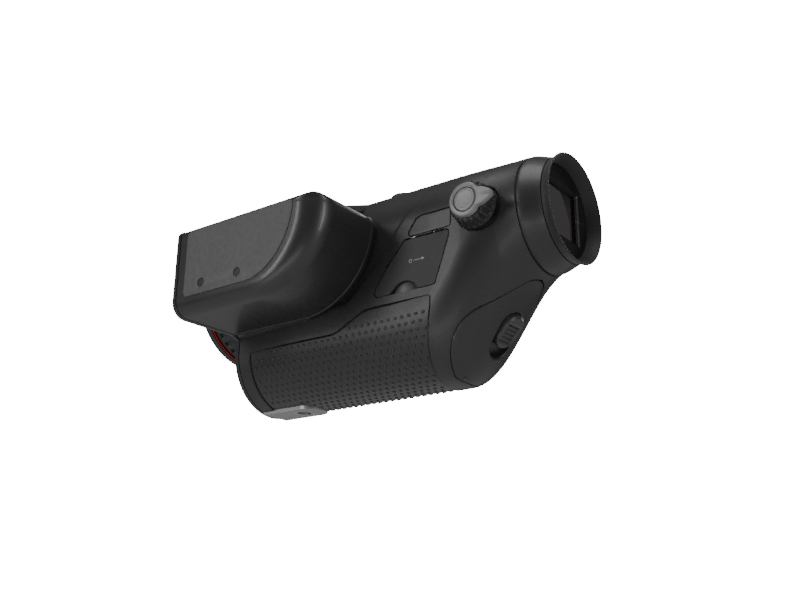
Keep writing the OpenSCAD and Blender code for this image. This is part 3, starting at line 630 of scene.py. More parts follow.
def build_pad_dots():
    """Low domes in staggered rows over the pad, each one of three rings and a tip along the skin's normal."""
    pitch = settings().dot_pitch / MM
    radius = settings().dot_radius / MM
    rows = np.arange(-13, 14)
    s, y = np.meshgrid(rows * pitch * 0.92, np.arange(-8.9, 92, pitch), indexing="ij")
    y = y + (np.abs(rows) % 2)[:, None] * pitch / 2
    top, straight, bottom = lengths(y)
    w = 1 - np.abs(s) / (top + straight + bottom)
    sign = np.where(s < 0, -1.0, 1.0)
    x, z = body_point(y, w, 0.45, sign)
    clear = (pad_away(y, z) < -1.5) & ((TRIPOD_PLATE.away(x, y) > 1.7) | (z > 12))
    y, w, sign, x, z = (a[clear] for a in (y, w, sign, x, z))
    base = np.stack([x, y, z], -1)
    up = np.stack(body_point(y, w, -0.55, sign), -1) - np.stack(body_point(y, w, 0.45, sign), -1)
    normal = np.stack([up[:, 0], 0 * y, up[:, 1]], -1)
    normal /= np.linalg.norm(normal, axis=1)[:, None]
    along = np.tile([0.0, 1.0, 0.0], (len(y), 1))
    across = np.cross(normal, along)
    a = np.linspace(0, 2 * np.pi, 12, endpoint=False)
    profile = [(0, -0.3), (radius, -0.3), (radius, 0.12)]
    profile += [(0.82 * radius, 0.3), (0.45 * radius, 0.41), (0, 0.44)]
    rings = []
    for r, h in profile:
        ring = np.cos(a)[:, None, None] * along + np.sin(a)[:, None, None] * across
        rings.append(base[None] + r * ring + h * normal[None])
    stack = np.stack(rings)  # profile, angle, dot, axis
    stack = np.moveaxis(stack, 2, 0)
    k, n = stack.shape[1:3]
    points = stack.reshape(-1, 3)
    faces = grid_faces(k, n, False)
    all_faces = (np.arange(len(y))[:, None, None] * k * n + faces[None]).reshape(-1, 4)
    first = stack[0].reshape(-1, 3)
    centred = first[faces] - first.mean(0)
    volume = np.einsum("ij,ij->i", centred[:, 0], np.cross(centred[:, 1], centred[:, 2])).sum()
    return [(points, all_faces if volume > 0 else all_faces[:, ::-1])]


# ---------------------------------------------------------------- head, pod and bezel


def pod_line(count=150):
    """Pod outline in side view as (y, z, normal y, normal z, edge radius): a straight top and bottom, an
    ellipse quarter round the lower rear and a small arc at the upper rear."""
    a = np.linspace(0, np.pi / 2, count)
    ny, nz = np.sin(a) / 36.5, -np.cos(a) / 35.5
    size = np.hypot(ny, nz)
    edge = 7 + 4.6 * smooth(a / (np.pi / 2))
    lower = np.stack([24 + 36.5 * np.sin(a), 68.5 - 35.5 * np.cos(a), ny / size, nz / size, edge], -1)
    i = np.linspace(0, 3, 22)[1:]
    b, r = np.radians(30 * i), 11.6 - 8.6 * smooth(i / 3)
    py, pz = 56.5 + 4 * np.cos(b), 68.5 + 4 * np.sin(b)
    corner = np.stack([py, pz, (py - 48.9 + 0.8 * i) / r, (pz - 68.5 - i / 3) / r, r], -1)
    t = np.linspace(0, 1, 60)[:-1, None]
    bottom = np.array([FRONT, 33, 0, -1, 7.0]) * (1 - t) + np.array([24, 33, 0, -1, 7.0]) * t
    top = np.array([56.5, 72.5, 10 / 3, 1, 3.0]) * (1 - t[1:]) + np.array([FRONT, 72.5, 0, 1, 3.0]) * t[1:]
    top[:, 2] = 10 / 3 * np.clip(1 - t[1:, 0] * 3, 0, 1)
    front = np.linspace(72.5, 33, 40)[1:-1]
    face = np.stack([FRONT + 0 * front, front, 0 * front, 0 * front, 3 + 4 * (72.5 - front) / 39.5], -1)
    return np.concatenate([bottom, lower, corner, top, np.array([[FRONT, 72.5, 0, 1, 3.0]]), face])


def pod_rings(outer_x, inner_x, scale, sunk):
    """Rings of the pod from the groove beside the barrel out to its flat side: at share f of a quarter turn
    the edge comes in by r less r cos f and reaches r sin f outwards."""
    line = pod_line()
    y, z, ny, nz, r = (line[:, k] for k in range(5))
    on_front = np.concatenate([[False], np.abs(y[1:] - FRONT) < 1e-6])
    way = np.sign(outer_x)
    front = np.flatnonzero(on_front)[1:]
    share = np.linspace(0, 1, len(front) + 2)[1:-1, None]

    def ring_at(x, inset):
        """Loop of the outline at x, drawn in by inset, with its front edge straight from corner to corner."""
        ring = np.stack([x + 0 * y, np.where(on_front, FRONT, y - ny * inset), z - nz * inset], -1)
        ring[front] = ring[front[0] - 1] * (1 - share) + ring[0] * share
        return ring

    groove = [(-3.5, 1.1), (0.5, 1.1), (0.55, 0.5), (0.75, 0.12)]
    groove += [(1.15, 0.0), (1.8, 0.0), (2.1, 0.28), (2.6, sunk)]
    rings = [ring_at(inner_x + way * out, inset) for out, inset in groove]
    for f in np.linspace(0, np.pi / 2, 15):
        rr = scale * r
        inset = sunk + (rr - sunk) * (1 - np.cos(f))
        rings.append(ring_at(outer_x - way * rr * (1 - np.sin(f)), inset))
    return rings


def build_pod():
    """Left pod, right cheek and the roof between them."""
    left = loft(np.array(pod_rings(POD_X - 0.3, 27.3, 1.0, 0.25)))
    right = loft(np.array(pod_rings(-36.0, -27.0, 0.7, 0.2)))
    a = np.linspace(0, 2 * np.pi, 240, endpoint=False)
    n = np.stack([np.cos(a), np.sin(a)], -1)
    box = [(52.5, 68.2, 3.3), (-26.5, 68.2, 3.3), (-26.5, 48, 3.5), (52.5, 48, 3.5)]
    rings = []
    stations = [(FRONT, 0.0), (FRONT + 8, 0.0)] + [(s, 0.0) for s in np.linspace(-4, 43, 22)]
    stations += [(44 + 5 * np.sin(f), 5 * (1 - np.cos(f)) * 0.9) for f in np.linspace(0, np.pi / 2, 12)]
    for y, inset in stations:
        share = np.clip((y - 24) / 19, 0, 1)
        disc = (0, LENS_Z + (AXIS_Z - LENS_Z) * share, 34.5 + (25.2 - 34.5) * share)
        discs = np.array([disc, *box])
        best = (n @ discs[:, :2].T + discs[:, 2]).argmax(1)
        p = discs[best, :2] + n * np.maximum(discs[best, 2] - inset, 0.4)[:, None]
        rings.append(np.stack([p[:, 0], y + 0 * a, p[:, 1]], -1))
    return [left, right, loft(np.array(rings))]


def head_reach(centre, a):
    """Distance from centre to the outline of head and grip seen from the front: the furthest of three bands."""
    bands = (
        Outline([(57.4, 40, 7), (61.4, 69.5, 3), (-31.1, 37.9, 4.9), (-33.9, 70.4, 2.1)]),
        Outline([(0, LENS_Z, 34.5), (56, 44, 0), (56, 72, 0), (-30, 72, 0), (-30, 44, 0)]),
        Outline([(0, 25.5, 25.5), (25.5, 44, 0), (-25.5, 44, 0)]),
    )
    return np.max([band.reach(centre, a) for band in bands], 0)


def build_bezel():
    """Front bezel: outline rings with a shadow gap behind and a rounded front edge, then a face to the lens
    opening."""
    centre = np.array([5.0, 40.0])
    a = np.linspace(0, 2 * np.pi, 480, endpoint=False)
    r = head_reach(centre, a)
    d = np.stack([np.cos(a), np.sin(a)], -1)
    rings = []
    edge = [(FRONT, 0.7), (FRONT - 0.3, 0.7), (FRONT - 0.32, 0.15), (FRONT - 0.5, 0.0)]
    for f in np.linspace(0, np.pi / 2, 9):
        edge.append((BEZEL_FRONT + 1.6 - 1.25 * np.sin(f), 1.6 * (1 - np.cos(f))))
    for y, inset in edge:
        p = centre + d * (r - inset)[:, None]
        rings.append(np.stack([p[:, 0], y + 0 * a, p[:, 1]], -1))
    rim = rings[-1][:, [0, 2]]
    b = np.arctan2(rim[:, 1] - LENS_Z, rim[:, 0])
    hole = 27.5
    mouth = [(BEZEL_FRONT + 0.35, hole + 0.9), (BEZEL_FRONT + 0.8, hole + 0.1)]
    for y, radius in (*mouth, (BEZEL_FRONT + 1.4, hole), (FRONT, hole)):
        rings.append(np.stack([radius * np.cos(b), y + 0 * b, LENS_Z + radius * np.sin(b)], -1))
    return [loft(np.array(rings), wrap=True)]


def build_window_rims():
    """Two turned rims round the pod's front windows."""
    skins = []
    for x, z, r in ((46.0, 59.0, 7.5), (47.0, 43.0, 4.2)):
        profile = rounded([(r + 0.05, 0.5), (r + 1.3, 0.5), (r + 1.3, -0.15), (r + 0.2, -0.3)], 0.2)
        skins.append(loft(turned(profile, (x, BEZEL_FRONT + 0.32, z), "y", 72), wrap=True))
    return skins


# ---------------------------------------------------------------- objective


def build_focus_ring():
    """Turned ring whose grip is cut by round flutes: at each the radius falls by the depth of a circle."""
    front = RING_FRONT
    body = [(27.2, front + 0.5), (27.8, front), (30.3, front), (31, front + 0.7), (31, front + 3.7)]
    body += [(30.6, front + 3.85), (29.4, front + 3.9), (29.4, front + 4.95), (30.1, front + 5.0)]
    body += [(30.2, front + 5.3), (30.2, front + 6.6)]
    body += [(30.2, front + 7.2 + k) for k in np.linspace(0, 7.2, 10)]
    body += [(30.2, front + 15), (30.2, BEZEL_FRONT - 1.9)]
    body += [(29.6, BEZEL_FRONT - 1.3), (27.2, BEZEL_FRONT - 1.3)]
    profile = np.array(body)
    points = turned(profile, (0, 0, LENS_Z), "y", 480)
    a = np.linspace(0, 2 * np.pi, 480, endpoint=False)
    swing = np.abs((a * 40 / (2 * np.pi) + 0.5) % 1 - 0.5) * 2 * np.pi * 30.2 / 40
    cut = np.sqrt(np.maximum(1.5**2 - swing**2, 0)) * 0.75
    ease = smooth((profile[:, 1] - front - 6.4) / 0.9) * (1 - smooth((profile[:, 1] - front - 14.2) / 0.9))
    ease *= profile[:, 0] > 30
    shrink = 1 - (ease[:, None] * cut[None, :]) / 30.2
    points[..., 0] *= shrink
    points[..., 2] = LENS_Z + (points[..., 2] - LENS_Z) * shrink
    return [loft(points, wrap=True)]


def build_red_ring():
    """Thin red band in the ring's groove."""
    front = RING_FRONT
    corners = [(29.45, front + 4.0), (30.8, front + 4.0), (30.8, front + 4.85), (29.45, front + 4.85)]
    profile = rounded(corners, 0.18)
    return [loft(turned(profile, (0, 0, LENS_Z), "y", 200), wrap=True)]


def build_lens_trim():
    """Stepped baffle ring between the focus ring and the front lens."""
    front = RING_FRONT
    steps = [(22.9, 3.9), (22.9, 2.9), (23.9, 2.5), (26.6, 2.5), (26.85, 2.9), (26.85, 3.9)]
    profile = rounded([(r, front + back) for r, back in steps], 0.15)
    return [loft(turned(profile, (0, 0, LENS_Z), "y", 200), wrap=True)]


# ---------------------------------------------------------------- eyepiece


def build_eyepiece():
    """Turned neck from the seam to the flare: a short shoulder, a slow waist and a step under the lip."""
    y = np.linspace(SEAM + 1.0, 136.3, 26)
    waist = 24.5 - 2.4 * smooth((y - SEAM - 1) / 9.6)
    corners = [(19.4, 121.0), (20.8, 121.0), (20.8, SEAM + 0.25), (24.0, SEAM + 0.3), (24.4, SEAM + 0.55)]
    profile = corners + list(zip(waist, y)) + [(21.0, 136.4), (21.0, 129.5), (19.4, 129.5)]
    return [loft(turned(profile, (0, 0, AXIS_Z), "y", 220), wrap=True)]


def build_eyecup():
    """Rubber lip that flares to its full radius and rolls over."""
    outer = [(20.95, 130.4), (20.95, 136.45), (21.9, 136.6), (22.0, 137.2)]
    outer += [(22.15, 138.0), (22.4, 138.7), (22.75, 139.3)]
    lip = [(22.95, 139.7), (23.0, 140.0), (22.9, 140.2), (22.65, 140.3), (22.35, 140.22)]
    inner = [(21.9, 139.3), (21.2, 137.7), (20.6, 136.3), (20.25, 135.2), (20.1, 134.9), (20.02, 130.4)]
    return [loft(turned(outer + lip + inner, (0, 0, AXIS_Z), "y", 220), wrap=True)]


def square_loop(half_w, half_h, r, y, count=40):
    """Rounded rectangle of points in the plane at station y, round the eyepiece axis."""
    corners = [(-half_w, -half_h), (half_w, -half_h), (half_w, half_h), (-half_w, half_h)]
    band = Outline(inset_corners(corners, r), normals=200)
    a = np.linspace(0, 2 * np.pi, 8 * count, endpoint=False)
    reach = band.reach((0, 0), a)
    return np.stack([reach * np.cos(a), y + 0 * a, AXIS_Z + reach * np.sin(a)], -1)


def build_eyepiece_plate():
    """Face plate inside the cup: round outside, a stepped rectangular opening inside."""
    y = LIP_Y - 5.5
    a = np.linspace(0, 2 * np.pi, 320, endpoint=False)

    def circle(r, at):
        return np.stack([r * np.cos(a), at + 0 * a, AXIS_Z + r * np.sin(a)], -1)

    rings = [circle(19.9, y - 1.6), circle(19.9, y - 0.3), circle(19.6, y - 0.02), circle(19.2, y)]
    opening = [(12.9, 12.0, 0.9, 0), (12.75, 11.85, 0.8, 0.15), (12.3, 11.4, 0.7, 0.55)]
    opening += [(11.5, 10.6, 0.6, 0.6), (11.3, 10.4, 0.5, 0.8), (11.3, 10.4, 0.5, 1.6)]
    rings += [square_loop(half_w, half_h, r, y - deep) for half_w, half_h, r, deep in opening]
    return [loft(np.array(rings), wrap=True)]


# ---------------------------------------------------------------- ports, heel and keys


def slab(outline, centre, place, depths, bite=None, count=240):
    """Plate from an outline: each (share, inset, depth) makes one loop, reach less inset scaled by share;
    bite = (y, z, r) takes a round notch out of the edge."""
    a = np.linspace(0, 2 * np.pi, count, endpoint=False)
    reach = outline.reach(centre, a)
    if bite is not None:
        away = np.array(bite[:2]) - np.asarray(centre, float)
        along = away[0] * np.cos(a) + away[1] * np.sin(a)
        off = away @ away - along**2
        near = along - np.sqrt(np.maximum(bite[2] ** 2 - off, 0))
        reach = np.where((off < bite[2] ** 2) & (along > 0), np.minimum(reach, near), reach)
    loops = []
    for share, inset, depth in depths:
        r = share * (reach - inset)
        loops.append(place(centre[0] + r * np.cos(a), centre[1] + r * np.sin(a), depth))
    return loft(np.array(loops))


def flat_side(u, v, depth):
    """Place on the housing's flat left side, depth below it."""
    return np.stack([side(u) - depth, u, v], -1)


# Rounded edge of a cover, as (share of the reach, inset, depth)
EDGE = [(1, 0, 1.7), (1, 0, 0.4), (1, 0.05, 0.22), (1, 0.16, 0.1), (1, 0.34, 0.06)]
EDGE += [(0.97, 0.34, 0.05), (0.7, 0.3, 0.05), (0.35, 0.2, 0.05)]


def build_port_door():
    """Port cover with its finger notch and a bevel along the hinge edge."""

    def place(y, z, depth):
        return flat_side(y, z, np.maximum(depth, z - 57.4))

    return [slab(PORT_DOOR, (82.0, 48.5), place, EDGE, bite=(75.8, 33.2, 7.0), count=360)]


def build_port_panel():
    return [slab(PORT_PANEL, (90.5, 62.6), flat_side, EDGE)]


def build_scoop():
    """Finger scoop under the port cover: a shallow bowl whose depth falls off as a circle of its radius."""
    a = np.linspace(0, 2 * np.pi, 96, endpoint=False)
    loops = []
    for r, depth in ((6.9, 1.75), (6.7, 1.3), (6.2, 1.5), (4.5, 1.8), (2.0, 1.95)):
        y, z = 75.8 + r * np.cos(a), np.maximum(33.2 + r * np.sin(a), 36.0)
        loops.append(np.stack([side(y) - depth, y, z], -1))
    inside = loops[0].copy()
    inside[:, 0] = 24.0
    return [loft(np.array([inside, *loops]))]


def build_port_mark():
    """Raised mark on the port cover: a short bar with a ring at one end and a triangle at the other."""
    skins = []
    ring = rounded([(0.5, 0), (0.8, 0), (0.8, 0.1), (0.5, 0.1)], 0.03, 2)
    p = turned(ring, (26.9, 78.9, 48.1), "x", 32)
    skins.append(loft(p, wrap=True))
    bar = Outline([(80.2, 48.1, 0.16), (84.6, 48.1, 0.16)], normals=48)
    skins.append(slab(bar, (82.4, 48.1), flat_side, [(1, 0, 0.2), (1, 0, 0.0), (0.4, 0, 0.0)], count=48))
    tip = Outline([(84.4, 47.5, 0.05), (84.4, 48.7, 0.05), (85.7, 48.1, 0.05)], normals=48)
    skins.append(slab(tip, (84.8, 48.1), flat_side, [(1, 0, 0.2), (1, 0, 0.0), (0.4, 0, 0.0)], count=48))
    return skins


def build_battery_door():
    """Battery cover: loops from its outer edge to the latch's well, laid on the heel's skin, then down the
    well's wall to a flat floor; a second set of loops 2.3 mm further in closes the inside."""
    a = np.linspace(0, 2 * np.pi, 360, endpoint=False)
    centre = (0.0, -1.7)
    outer, well = HEEL_DOOR.reach(centre, a), LATCH_WELL.reach(centre, a)
    cos, sin = np.cos(a), np.sin(a)

    def on_skin(r, depth):
        x, v = r * cos, centre[1] + r * sin
        return heel_frame(x, v, heel_depth(x * 0.9995, v) + depth)

    loops = []
    for k in np.linspace(0.25, 1, 12):
        loops.append(on_skin(well + 1.0 + k * (outer - well - 1.0) - (0.02 if k == 1 else 0), 2.35))
    for inset, depth in ((0, 0.55), (0.03, 0.3), (0.12, 0.12), (0.32, 0.02)):
        loops.append(on_skin(outer - inset, depth))
    for k in np.concatenate([np.linspace(0.97, 0.1, 34), [0.06, 0.03]]):
        loops.append(on_skin(well + 0.75 + k * (outer - 0.32 - well - 0.75), 0.02))
    for r, depth in ((0.75, 0.02), (0.45, 0.1), (0.2, 0.28), (0.05, 0.55), (0.0, 0.9)):
        loops.append(on_skin(well + r, depth))
    x, v = well * cos, centre[1] + well * sin
    loops += [heel_frame(x * s, centre[1] + (v - centre[1]) * s, -1.2 + 0 * x) for s in (1.0, 0.6, 0.1)]
    floor = [heel_frame(x * s, centre[1] + (v - centre[1]) * s, 0.35 + 0 * x) for s in (0.1, 0.6, 1.12)]
    return [loft(np.array(floor + loops))]


def build_door_knuckle():
    """Hinge barrel of the battery cover with its strap to the shell."""
    profile = rounded([(0.86, -6.5), (2.1, -6.5), (2.1, 6.5), (0.86, 6.5)], 0.4)
    barrel = loft(turned(profile, (0, 86, 3.3), "x", 64), wrap=True)
    x = np.linspace(-6.4, 6.4, 9)
    section = rounded([(86.6, 1.3), (91.6, 1.5), (91.6, 3.4), (86.6, 3.4)], 0.3)
    strap = np.stack([np.stack([xx + 0 * section[:, 0], section[:, 0], section[:, 1]], -1) for xx in x])
    return [barrel, loft(strap)]


def build_latch():
    """Latch slider: a stadium, raised at the top, with a dished middle and cross ribs 1.75 mm apart."""
    a = np.linspace(0, 2 * np.pi, 240, endpoint=False)
    band = Outline([(0, -1.5, 5.7), (0, 2.4, 5.7)])
    centre = (0.0, 0.45)
    reach = band.reach(centre, a)
    loops = []
    shares = [(1, 0, -1.3), (1, 0, -3.2), (1, 0.12, -3.7), (1, 0.4, -4.05), (1, 0.8, -4.2)]
    for share, inset, d in shares:
        r = share * (reach - inset)
        loops.append(heel_frame(r * np.cos(a), centre[1] + r * np.sin(a), d + 0 * a))
    for share in np.linspace(0.97, 0.02, 42):
        r = share * (reach - 0.8)
        x, v = r * np.cos(a), centre[1] + r * np.sin(a)
        middle = smooth((4.3 - np.abs(x)) / 0.7) * smooth((v + 5.4) / 0.8) * smooth((3.6 - v) / 0.8)
        ribs = smooth(0.5 + 0.9 * np.sin(2 * np.pi * v / 1.75))
        cap = smooth((v - 3.4) / 1.0)
        loops.append(heel_frame(x, v, -4.2 + middle * (0.75 - 0.6 * ribs) - 0.35 * cap))
    return [loft(np.array(loops))]


def cap_on_top(outline, centre, top, low=86.2, count=120):
    """Key cap: a straight skirt, a rounded shoulder and a slightly domed top."""
    def place(u, v, depth):
        return np.stack([u, v, depth + 0 * u], -1)

    depths = [(1, 0, low), (1, 0, top - 0.75), (1, 0.06, top - 0.5), (1, 0.2, top - 0.28)]
    depths += [(1, 0.45, top - 0.14)]
    depths += [(0.85, 0.45, top - 0.07), (0.6, 0.4, top - 0.03), (0.3, 0.2, top)]
    return slab(outline, centre, place, depths, count=count)


def build_power_key():
    return [cap_on_top(POWER_KEY, (0.0, 57.3), 91.4)]


def build_round_key(y):
    return [cap_on_top(Outline([(0, y, 3.4)], normals=72), (0.0, y), 91.0, count=72)]


# ---------------------------------------------------------------- knob


def build_knob_skirt():
    """Skirt and shaft: the radius of the skirt drops at each of the grip's flutes."""
    b = KNOB_BASE
    profile = np.array(
        [(2.5, 18.6), (2.5, b - 0.3), (2.6, b), (8.9, b), (9.2, b + 0.25), (9.2, b + 0.8)]
        + [(9.2 - 0.8 * (k - 0.8) / 5.8, b + k) for k in np.linspace(1.1, 5.9, 9)]
        + [(8.35, b + 6.2), (7.9, b + 6.55), (5.2, b + 6.6), (5.1, b + 6.4), (5.1, b + 3.2)]
    )
    points = turned(profile, (0, KNOB_Y, KNOB_Z), "x", 400)
    a = np.linspace(0, 2 * np.pi, 400, endpoint=False)
    swing = np.abs((a * 20 / (2 * np.pi)) % 1 - 0.5) * 2
    cut = np.where(swing > 0.45, 0.75 * np.sqrt(np.clip((swing - 0.45) / 0.55, 0, 1)), 0)
    ease = smooth((profile[:, 1] - b - 0.8) / 0.5) * (profile[:, 0] > 7)
    shrink = 1 - ease[:, None] * cut[None, :] / np.maximum(profile[:, 0], 5)[:, None]
    points[..., 1] = KNOB_Y + (points[..., 1] - KNOB_Y) * shrink
    points[..., 2] = KNOB_Z + (points[..., 2] - KNOB_Z) * shrink
    return [loft(points)]


def build_knob_face():
    """Pointer plate: the band round a disc and a small lobe, with a chamfer, and a hole for the button."""
    low, top = KNOB_BASE + 6.66, KNOB_BASE + 9.05
    a = np.linspace(0, 2 * np.pi, 240, endpoint=False)
    band = Outline([(KNOB_Y, KNOB_Z, 7.0), (KNOB_Y + 10, KNOB_Z, 2.0)])
    reach = band.reach((KNOB_Y, KNOB_Z), a)
    neck_in = 0.9 * np.exp(-(((np.abs((a + np.pi) % (2 * np.pi) - np.pi) - 0.62) / 0.2) ** 2))
    reach = reach - neck_in
    loops = []
    for x, inset in ((low, 0.15), (low + 0.2, 0.0), (top - 0.55, 0.0), (top - 0.2, 0.16), (top, 0.5)):
        r = reach - inset
        loops.append(np.stack([x + 0 * a, KNOB_Y + r * np.cos(a), KNOB_Z + r * np.sin(a)], -1))
    for x, r in ((top, 5.75), (top - 0.25, 5.4), (top - 0.3, 5.12), (low, 5.12)):
        loops.append(np.stack([x + 0 * a, KNOB_Y + r * np.cos(a), KNOB_Z + r * np.sin(a)], -1))
    return [loft(np.array(loops), wrap=True)]


def build_knob_button():
    """Push button with a shallow dish and a fine ring groove."""
    top = KNOB_BASE + 8.9
    profile = [(4.8, top - 4.6), (4.8, top - 0.4), (4.68, top - 0.15), (4.4, top), (3.9, top)]
    profile += [(3.8, top - 0.12), (3.6, top - 0.12), (3.5, top - 0.03), (2.0, top - 0.16), (0.8, top - 0.2)]
    return [loft(turned(profile, (0, KNOB_Y, KNOB_Z), "x", 96))]


# ---------------------------------------------------------------- add-on


class MonocularSizes(bpy.types.PropertyGroup):
    dot_pitch: bpy.props.FloatProperty(
        name="Dot pitch",
        description="Distance between the grip pad's dots",
        default=0.0034, min=0.002, max=0.006, unit="LENGTH",
    )
    dot_radius: bpy.props.FloatProperty(
        name="Dot radius",
        description="Radius of the grip pad's dots",
        default=0.00078, min=0.0003, max=0.001, unit="LENGTH",
    )
    floor_colour: bpy.props.FloatVectorProperty(
        name="Floor",
        description="Colour of the floor",
        default=(0.82, 0.82, 0.82), size=3, subtype="COLOR", min=0, max=1,
    )


def make(name, skins, body, material_slot, nodes=(), angle=32):
    return piece(name, skins, body, finish_of(material_slot), nodes, angle)


class MONOCULAR_OT_carried(bpy.types.Operator):
    """Gives every CAD solid that stays in view its finish"""

    bl_idname = "monocular.carried"
    bl_label = "Carried solids"

    def execute(self, context):
        slots = {s["node"]: s["material_slot"] for s in frame["record"]["subparts"]}
        for node, objects in frame["nodes"].items():
            for obj in objects if isinstance(objects, (list, tuple)) else [objects]:
                obj.data.materials.clear()
                obj.data.materials.append(finish_of(slots[node]))
        return {"FINISHED"}


class MONOCULAR_OT_housing(bpy.types.Operator):
    """Builds the main housing and the neck's step"""

    bl_idname = "monocular.housing"
    bl_label = "Housing"

    def execute(self, context):
        make("housing_skin", build_housing(), "housing", "body_plastic", ["main_housing"], 38)
        return {"FINISHED"}


class MONOCULAR_OT_pad(bpy.types.Operator):
    """Builds the grip pad and its dots"""

    bl_idname = "monocular.pad"
    bl_label = "Grip pad"

    def execute(self, context):
        make("pad_sheet", build_pad(), "housing", "grip_rubber", ["grip_pad"])
        make("pad_dots", build_pad_dots(), "housing", "grip_rubber")
        return {"FINISHED"}


class MONOCULAR_OT_head(bpy.types.Operator):
    """Builds the pod, the roof, the front bezel and its window rims"""

    bl_idname = "monocular.head"
    bl_label = "Head and pod"

    def execute(self, context):
        make("head_skin", build_pod(), "housing", "pod_plastic", ["head_shell"], 30)
        make("bezel", build_bezel(), "housing", "pod_plastic", ["front_bezel"], 30)
        make("window_rims", build_window_rims(), "housing", "black_metal")
        return {"FINISHED"}


class MONOCULAR_OT_objective(bpy.types.Operator):
    """Builds the focus ring, its red band and the baffle ring"""

    bl_idname = "monocular.objective"
    bl_label = "Objective"

    def execute(self, context):
        make("focus_grip", build_focus_ring(), "focus", "ring_rubber", ["focus_ring"], 40)
        make("red_band", build_red_ring(), "focus", "red_anodised", ["red_ring"])
        make("lens_trim", build_lens_trim(), "housing", "black_metal", ["lens_retainer"])
        return {"FINISHED"}


class MONOCULAR_OT_eyepiece(bpy.types.Operator):
    """Builds the eyepiece neck, the cup and the face plate"""

    bl_idname = "monocular.eyepiece"
    bl_label = "Eyepiece"

    def execute(self, context):
        make("eyepiece_neck", build_eyepiece(), "housing", "body_plastic", ["eyepiece_housing"])
        make("eyecup_lip", build_eyecup(), "housing", "soft_rubber", ["eyecup"])
        dark = finish_of("black_metal")
        piece("eyepiece_face", build_eyepiece_plate(), "housing", dark, ["eyepiece_plate"], 25)
        return {"FINISHED"}


class MONOCULAR_OT_ports(bpy.types.Operator):
    """Builds the port cover, its mark, the fixed panel and the finger scoop"""

    bl_idname = "monocular.ports"
    bl_label = "Port cover"

    def execute(self, context):
        make("port_flap", build_port_door(), "port_cover", "soft_rubber", ["port_door"])
        make("port_mark", build_port_mark(), "port_cover", "knob_grey")
        make("port_block", build_port_panel(), "housing", "body_plastic", ["port_panel"])
        make("port_scoop", build_scoop(), "housing", "body_plastic")
        return {"FINISHED"}


class MONOCULAR_OT_heel(bpy.types.Operator):
    """Builds the battery cover, its hinge barrel and the latch"""

    bl_idname = "monocular.heel"
    bl_label = "Battery cover"

    def execute(self, context):
        make("battery_cap", build_battery_door(), "battery_cover", "body_plastic", ["battery_door"])
        make("battery_knuckle", build_door_knuckle(), "battery_cover", "body_plastic")
        make("latch_key", build_latch(), "latch", "key_plastic", ["latch_slider"], 45)
        return {"FINISHED"}


class MONOCULAR_OT_keys(bpy.types.Operator):
    """Builds the keys along the top"""

    bl_idname = "monocular.keys"
    bl_label = "Keys"

    def execute(self, context):
        make("power_cap", build_power_key(), "power_button", "key_plastic", ["power_key"])
        for name, y in zip(("menu", "up", "down"), KEY_STATIONS):
            make(name + "_cap", build_round_key(y), name + "_button", "key_plastic", [name + "_key"])
        return {"FINISHED"}


class MONOCULAR_OT_knob(bpy.types.Operator):
    """Builds the knob's skirt, pointer plate and push button"""

    bl_idname = "monocular.knob"
    bl_label = "Knob"

    def execute(self, context):
        make("knob_grip", build_knob_skirt(), "knob", "ring_rubber", ["knob_skirt"], 40)
        make("knob_plate", build_knob_face(), "knob", "knob_grey", ["knob_face"])
        make("knob_cap", build_knob_button(), "knob_push", "knob_grey", ["knob_button"])
        return {"FINISHED"}


class MONOCULAR_OT_stage(bpy.types.Operator):
    """Sets up the floor, the soft lights and the camera"""

    bl_idname = "monocular.stage"
    bl_label = "Stage"

    def execute(self, context):
        scene = context.scene
        g = Graph("floor")
        tone = tuple(settings().floor_colour) + (1.0,)
        g.finish(Base_Color=g.mix(g.noise(3, 2.0), tint(tone, 0.98), tint(tone, 1.02)), Roughness=0.9)
        bpy.ops.mesh.primitive_plane_add(size=12, location=(0, 0, -0.25))
        floor = context.object
        floor.name = "floor"
        floor.data.materials.append(g.material)
        world = bpy.data.worlds.new("studio")
        world.use_nodes = True
        back = world.node_tree.nodes["Background"]
        seen = world.node_tree.nodes.new("ShaderNodeLightPath")
        share = world.node_tree.nodes.new("ShaderNodeMapRange")
        share.inputs["To Min"].default_value, share.inputs["To Max"].default_value = 0.13, 20.0
        world.node_tree.links.new(seen.outputs["Is Camera Ray"], share.inputs["Value"])
        world.node_tree.links.new(share.outputs["Result"], back.inputs["Strength"])
        back.inputs["Color"].default_value = (1.0, 1.0, 1.0, 1.0)
        scene.world = world
        target = np.array([0.0, 0.05, 0.045])
        for name, place, size, watts in LIGHTS:
            data = bpy.data.lights.new(name, "AREA")
            data.shape, data.size, data.size_y, data.energy = "RECTANGLE", size[0], size[1], watts
            lamp = bpy.data.objects.new(name, data)
            scene.collection.objects.link(lamp)
            away = np.array(place) - target
            lamp.matrix_world = looking(np.array(place), away / np.linalg.norm(away))
        data = bpy.data.cameras.new("camera")
        data.sensor_width, data.lens, data.clip_start = 36.0, 44.166, 0.01
        data.dof.use_dof = False
        camera = bpy.data.objects.new("camera", data)
        scene.collection.objects.link(camera)
        turn, rise, roll = (math.radians(angle) for angle in (CAMERA_AZIMUTH, CAMERA_ELEVATION, CAMERA_ROLL))
        back_way = (math.cos(rise) * math.cos(turn), math.cos(rise) * math.sin(turn), math.sin(rise))
        camera.matrix_world = looking(CAMERA_PLACE, back_way) @ Matrix.Rotation(roll, 4, "Z")
        scene.camera = camera
        return {"FINISHED"}


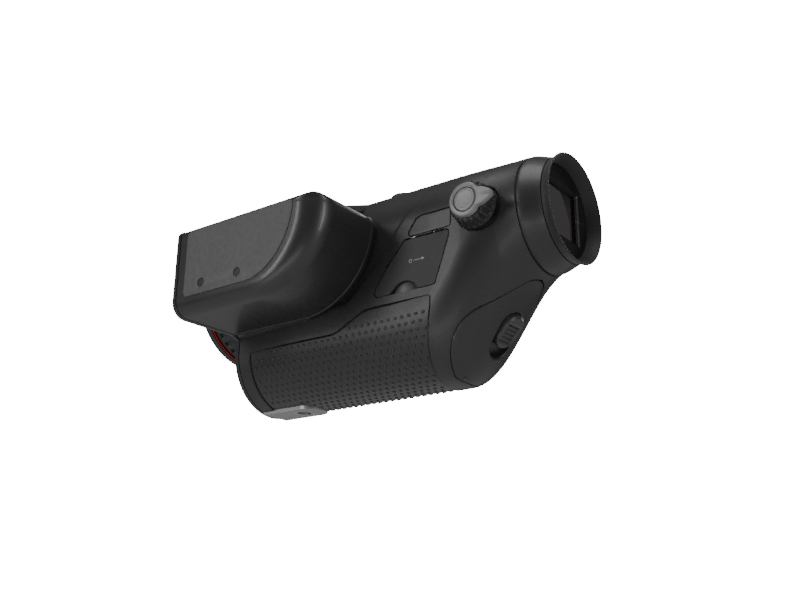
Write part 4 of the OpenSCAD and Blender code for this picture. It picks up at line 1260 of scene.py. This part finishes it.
# Where the camera stands in metres, the way behind it in degrees round and above the horizon, and its roll
CAMERA_PLACE = (0.32572, 0.29796, -0.09543)
CAMERA_AZIMUTH, CAMERA_ELEVATION, CAMERA_ROLL = 36.877, -18.903, 0.642

# Place, size and power of the soft lights
LIGHTS = [
    ("light_top", (0.25, 0.1, 0.75), (0.5, 0.5), 3.0),
    ("light_left", (0.8, -0.35, 0.2), (0.16, 0.6), 2.6),
    ("light_eye", (0.15, 0.85, 0.15), (0.1, 0.5), 2.0),
    ("light_right", (-0.7, 0.0, 0.45), (0.5, 0.5), 3.0),
    ("light_low", (0.45, 0.1, -0.2), (0.5, 0.1), 0.3),
]


def looking(place, back_way):
    """Matrix at place whose own +Z points along back_way."""
    right = np.cross((0.0, 0.0, 1.0), back_way)
    right /= np.linalg.norm(right)
    up = np.cross(back_way, right)
    return Matrix([[right[k], up[k], back_way[k], place[k]] for k in range(3)] + [[0, 0, 0, 1]])


OPERATORS = (
    MONOCULAR_OT_carried,
    MONOCULAR_OT_housing,
    MONOCULAR_OT_pad,
    MONOCULAR_OT_head,
    MONOCULAR_OT_objective,
    MONOCULAR_OT_eyepiece,
    MONOCULAR_OT_ports,
    MONOCULAR_OT_heel,
    MONOCULAR_OT_keys,
    MONOCULAR_OT_knob,
    MONOCULAR_OT_stage,
)


class MONOCULAR_PT_panel(bpy.types.Panel):
    bl_label = "Thermal monocular"
    bl_space_type = "VIEW_3D"
    bl_region_type = "UI"
    bl_category = "Monocular"

    def draw(self, context):
        sizes = context.scene.monocular_sizes
        for key in ("dot_pitch", "dot_radius", "floor_colour"):
            self.layout.prop(sizes, key)
        for operator in OPERATORS:
            self.layout.operator(operator.bl_idname)


CLASSES = (MonocularSizes, *OPERATORS, MONOCULAR_PT_panel)


def register():
    for made in CLASSES:
        bpy.utils.register_class(made)
    bpy.types.Scene.monocular_sizes = bpy.props.PointerProperty(type=MonocularSizes)


def unregister():
    del bpy.types.Scene.monocular_sizes
    for made in reversed(CLASSES):
        bpy.utils.unregister_class(made)


def main():
    register()
    for operator in OPERATORS:
        group, name = operator.bl_idname.split(".")
        getattr(getattr(bpy.ops, group), name)()


if __name__ == "__main__":
    main()
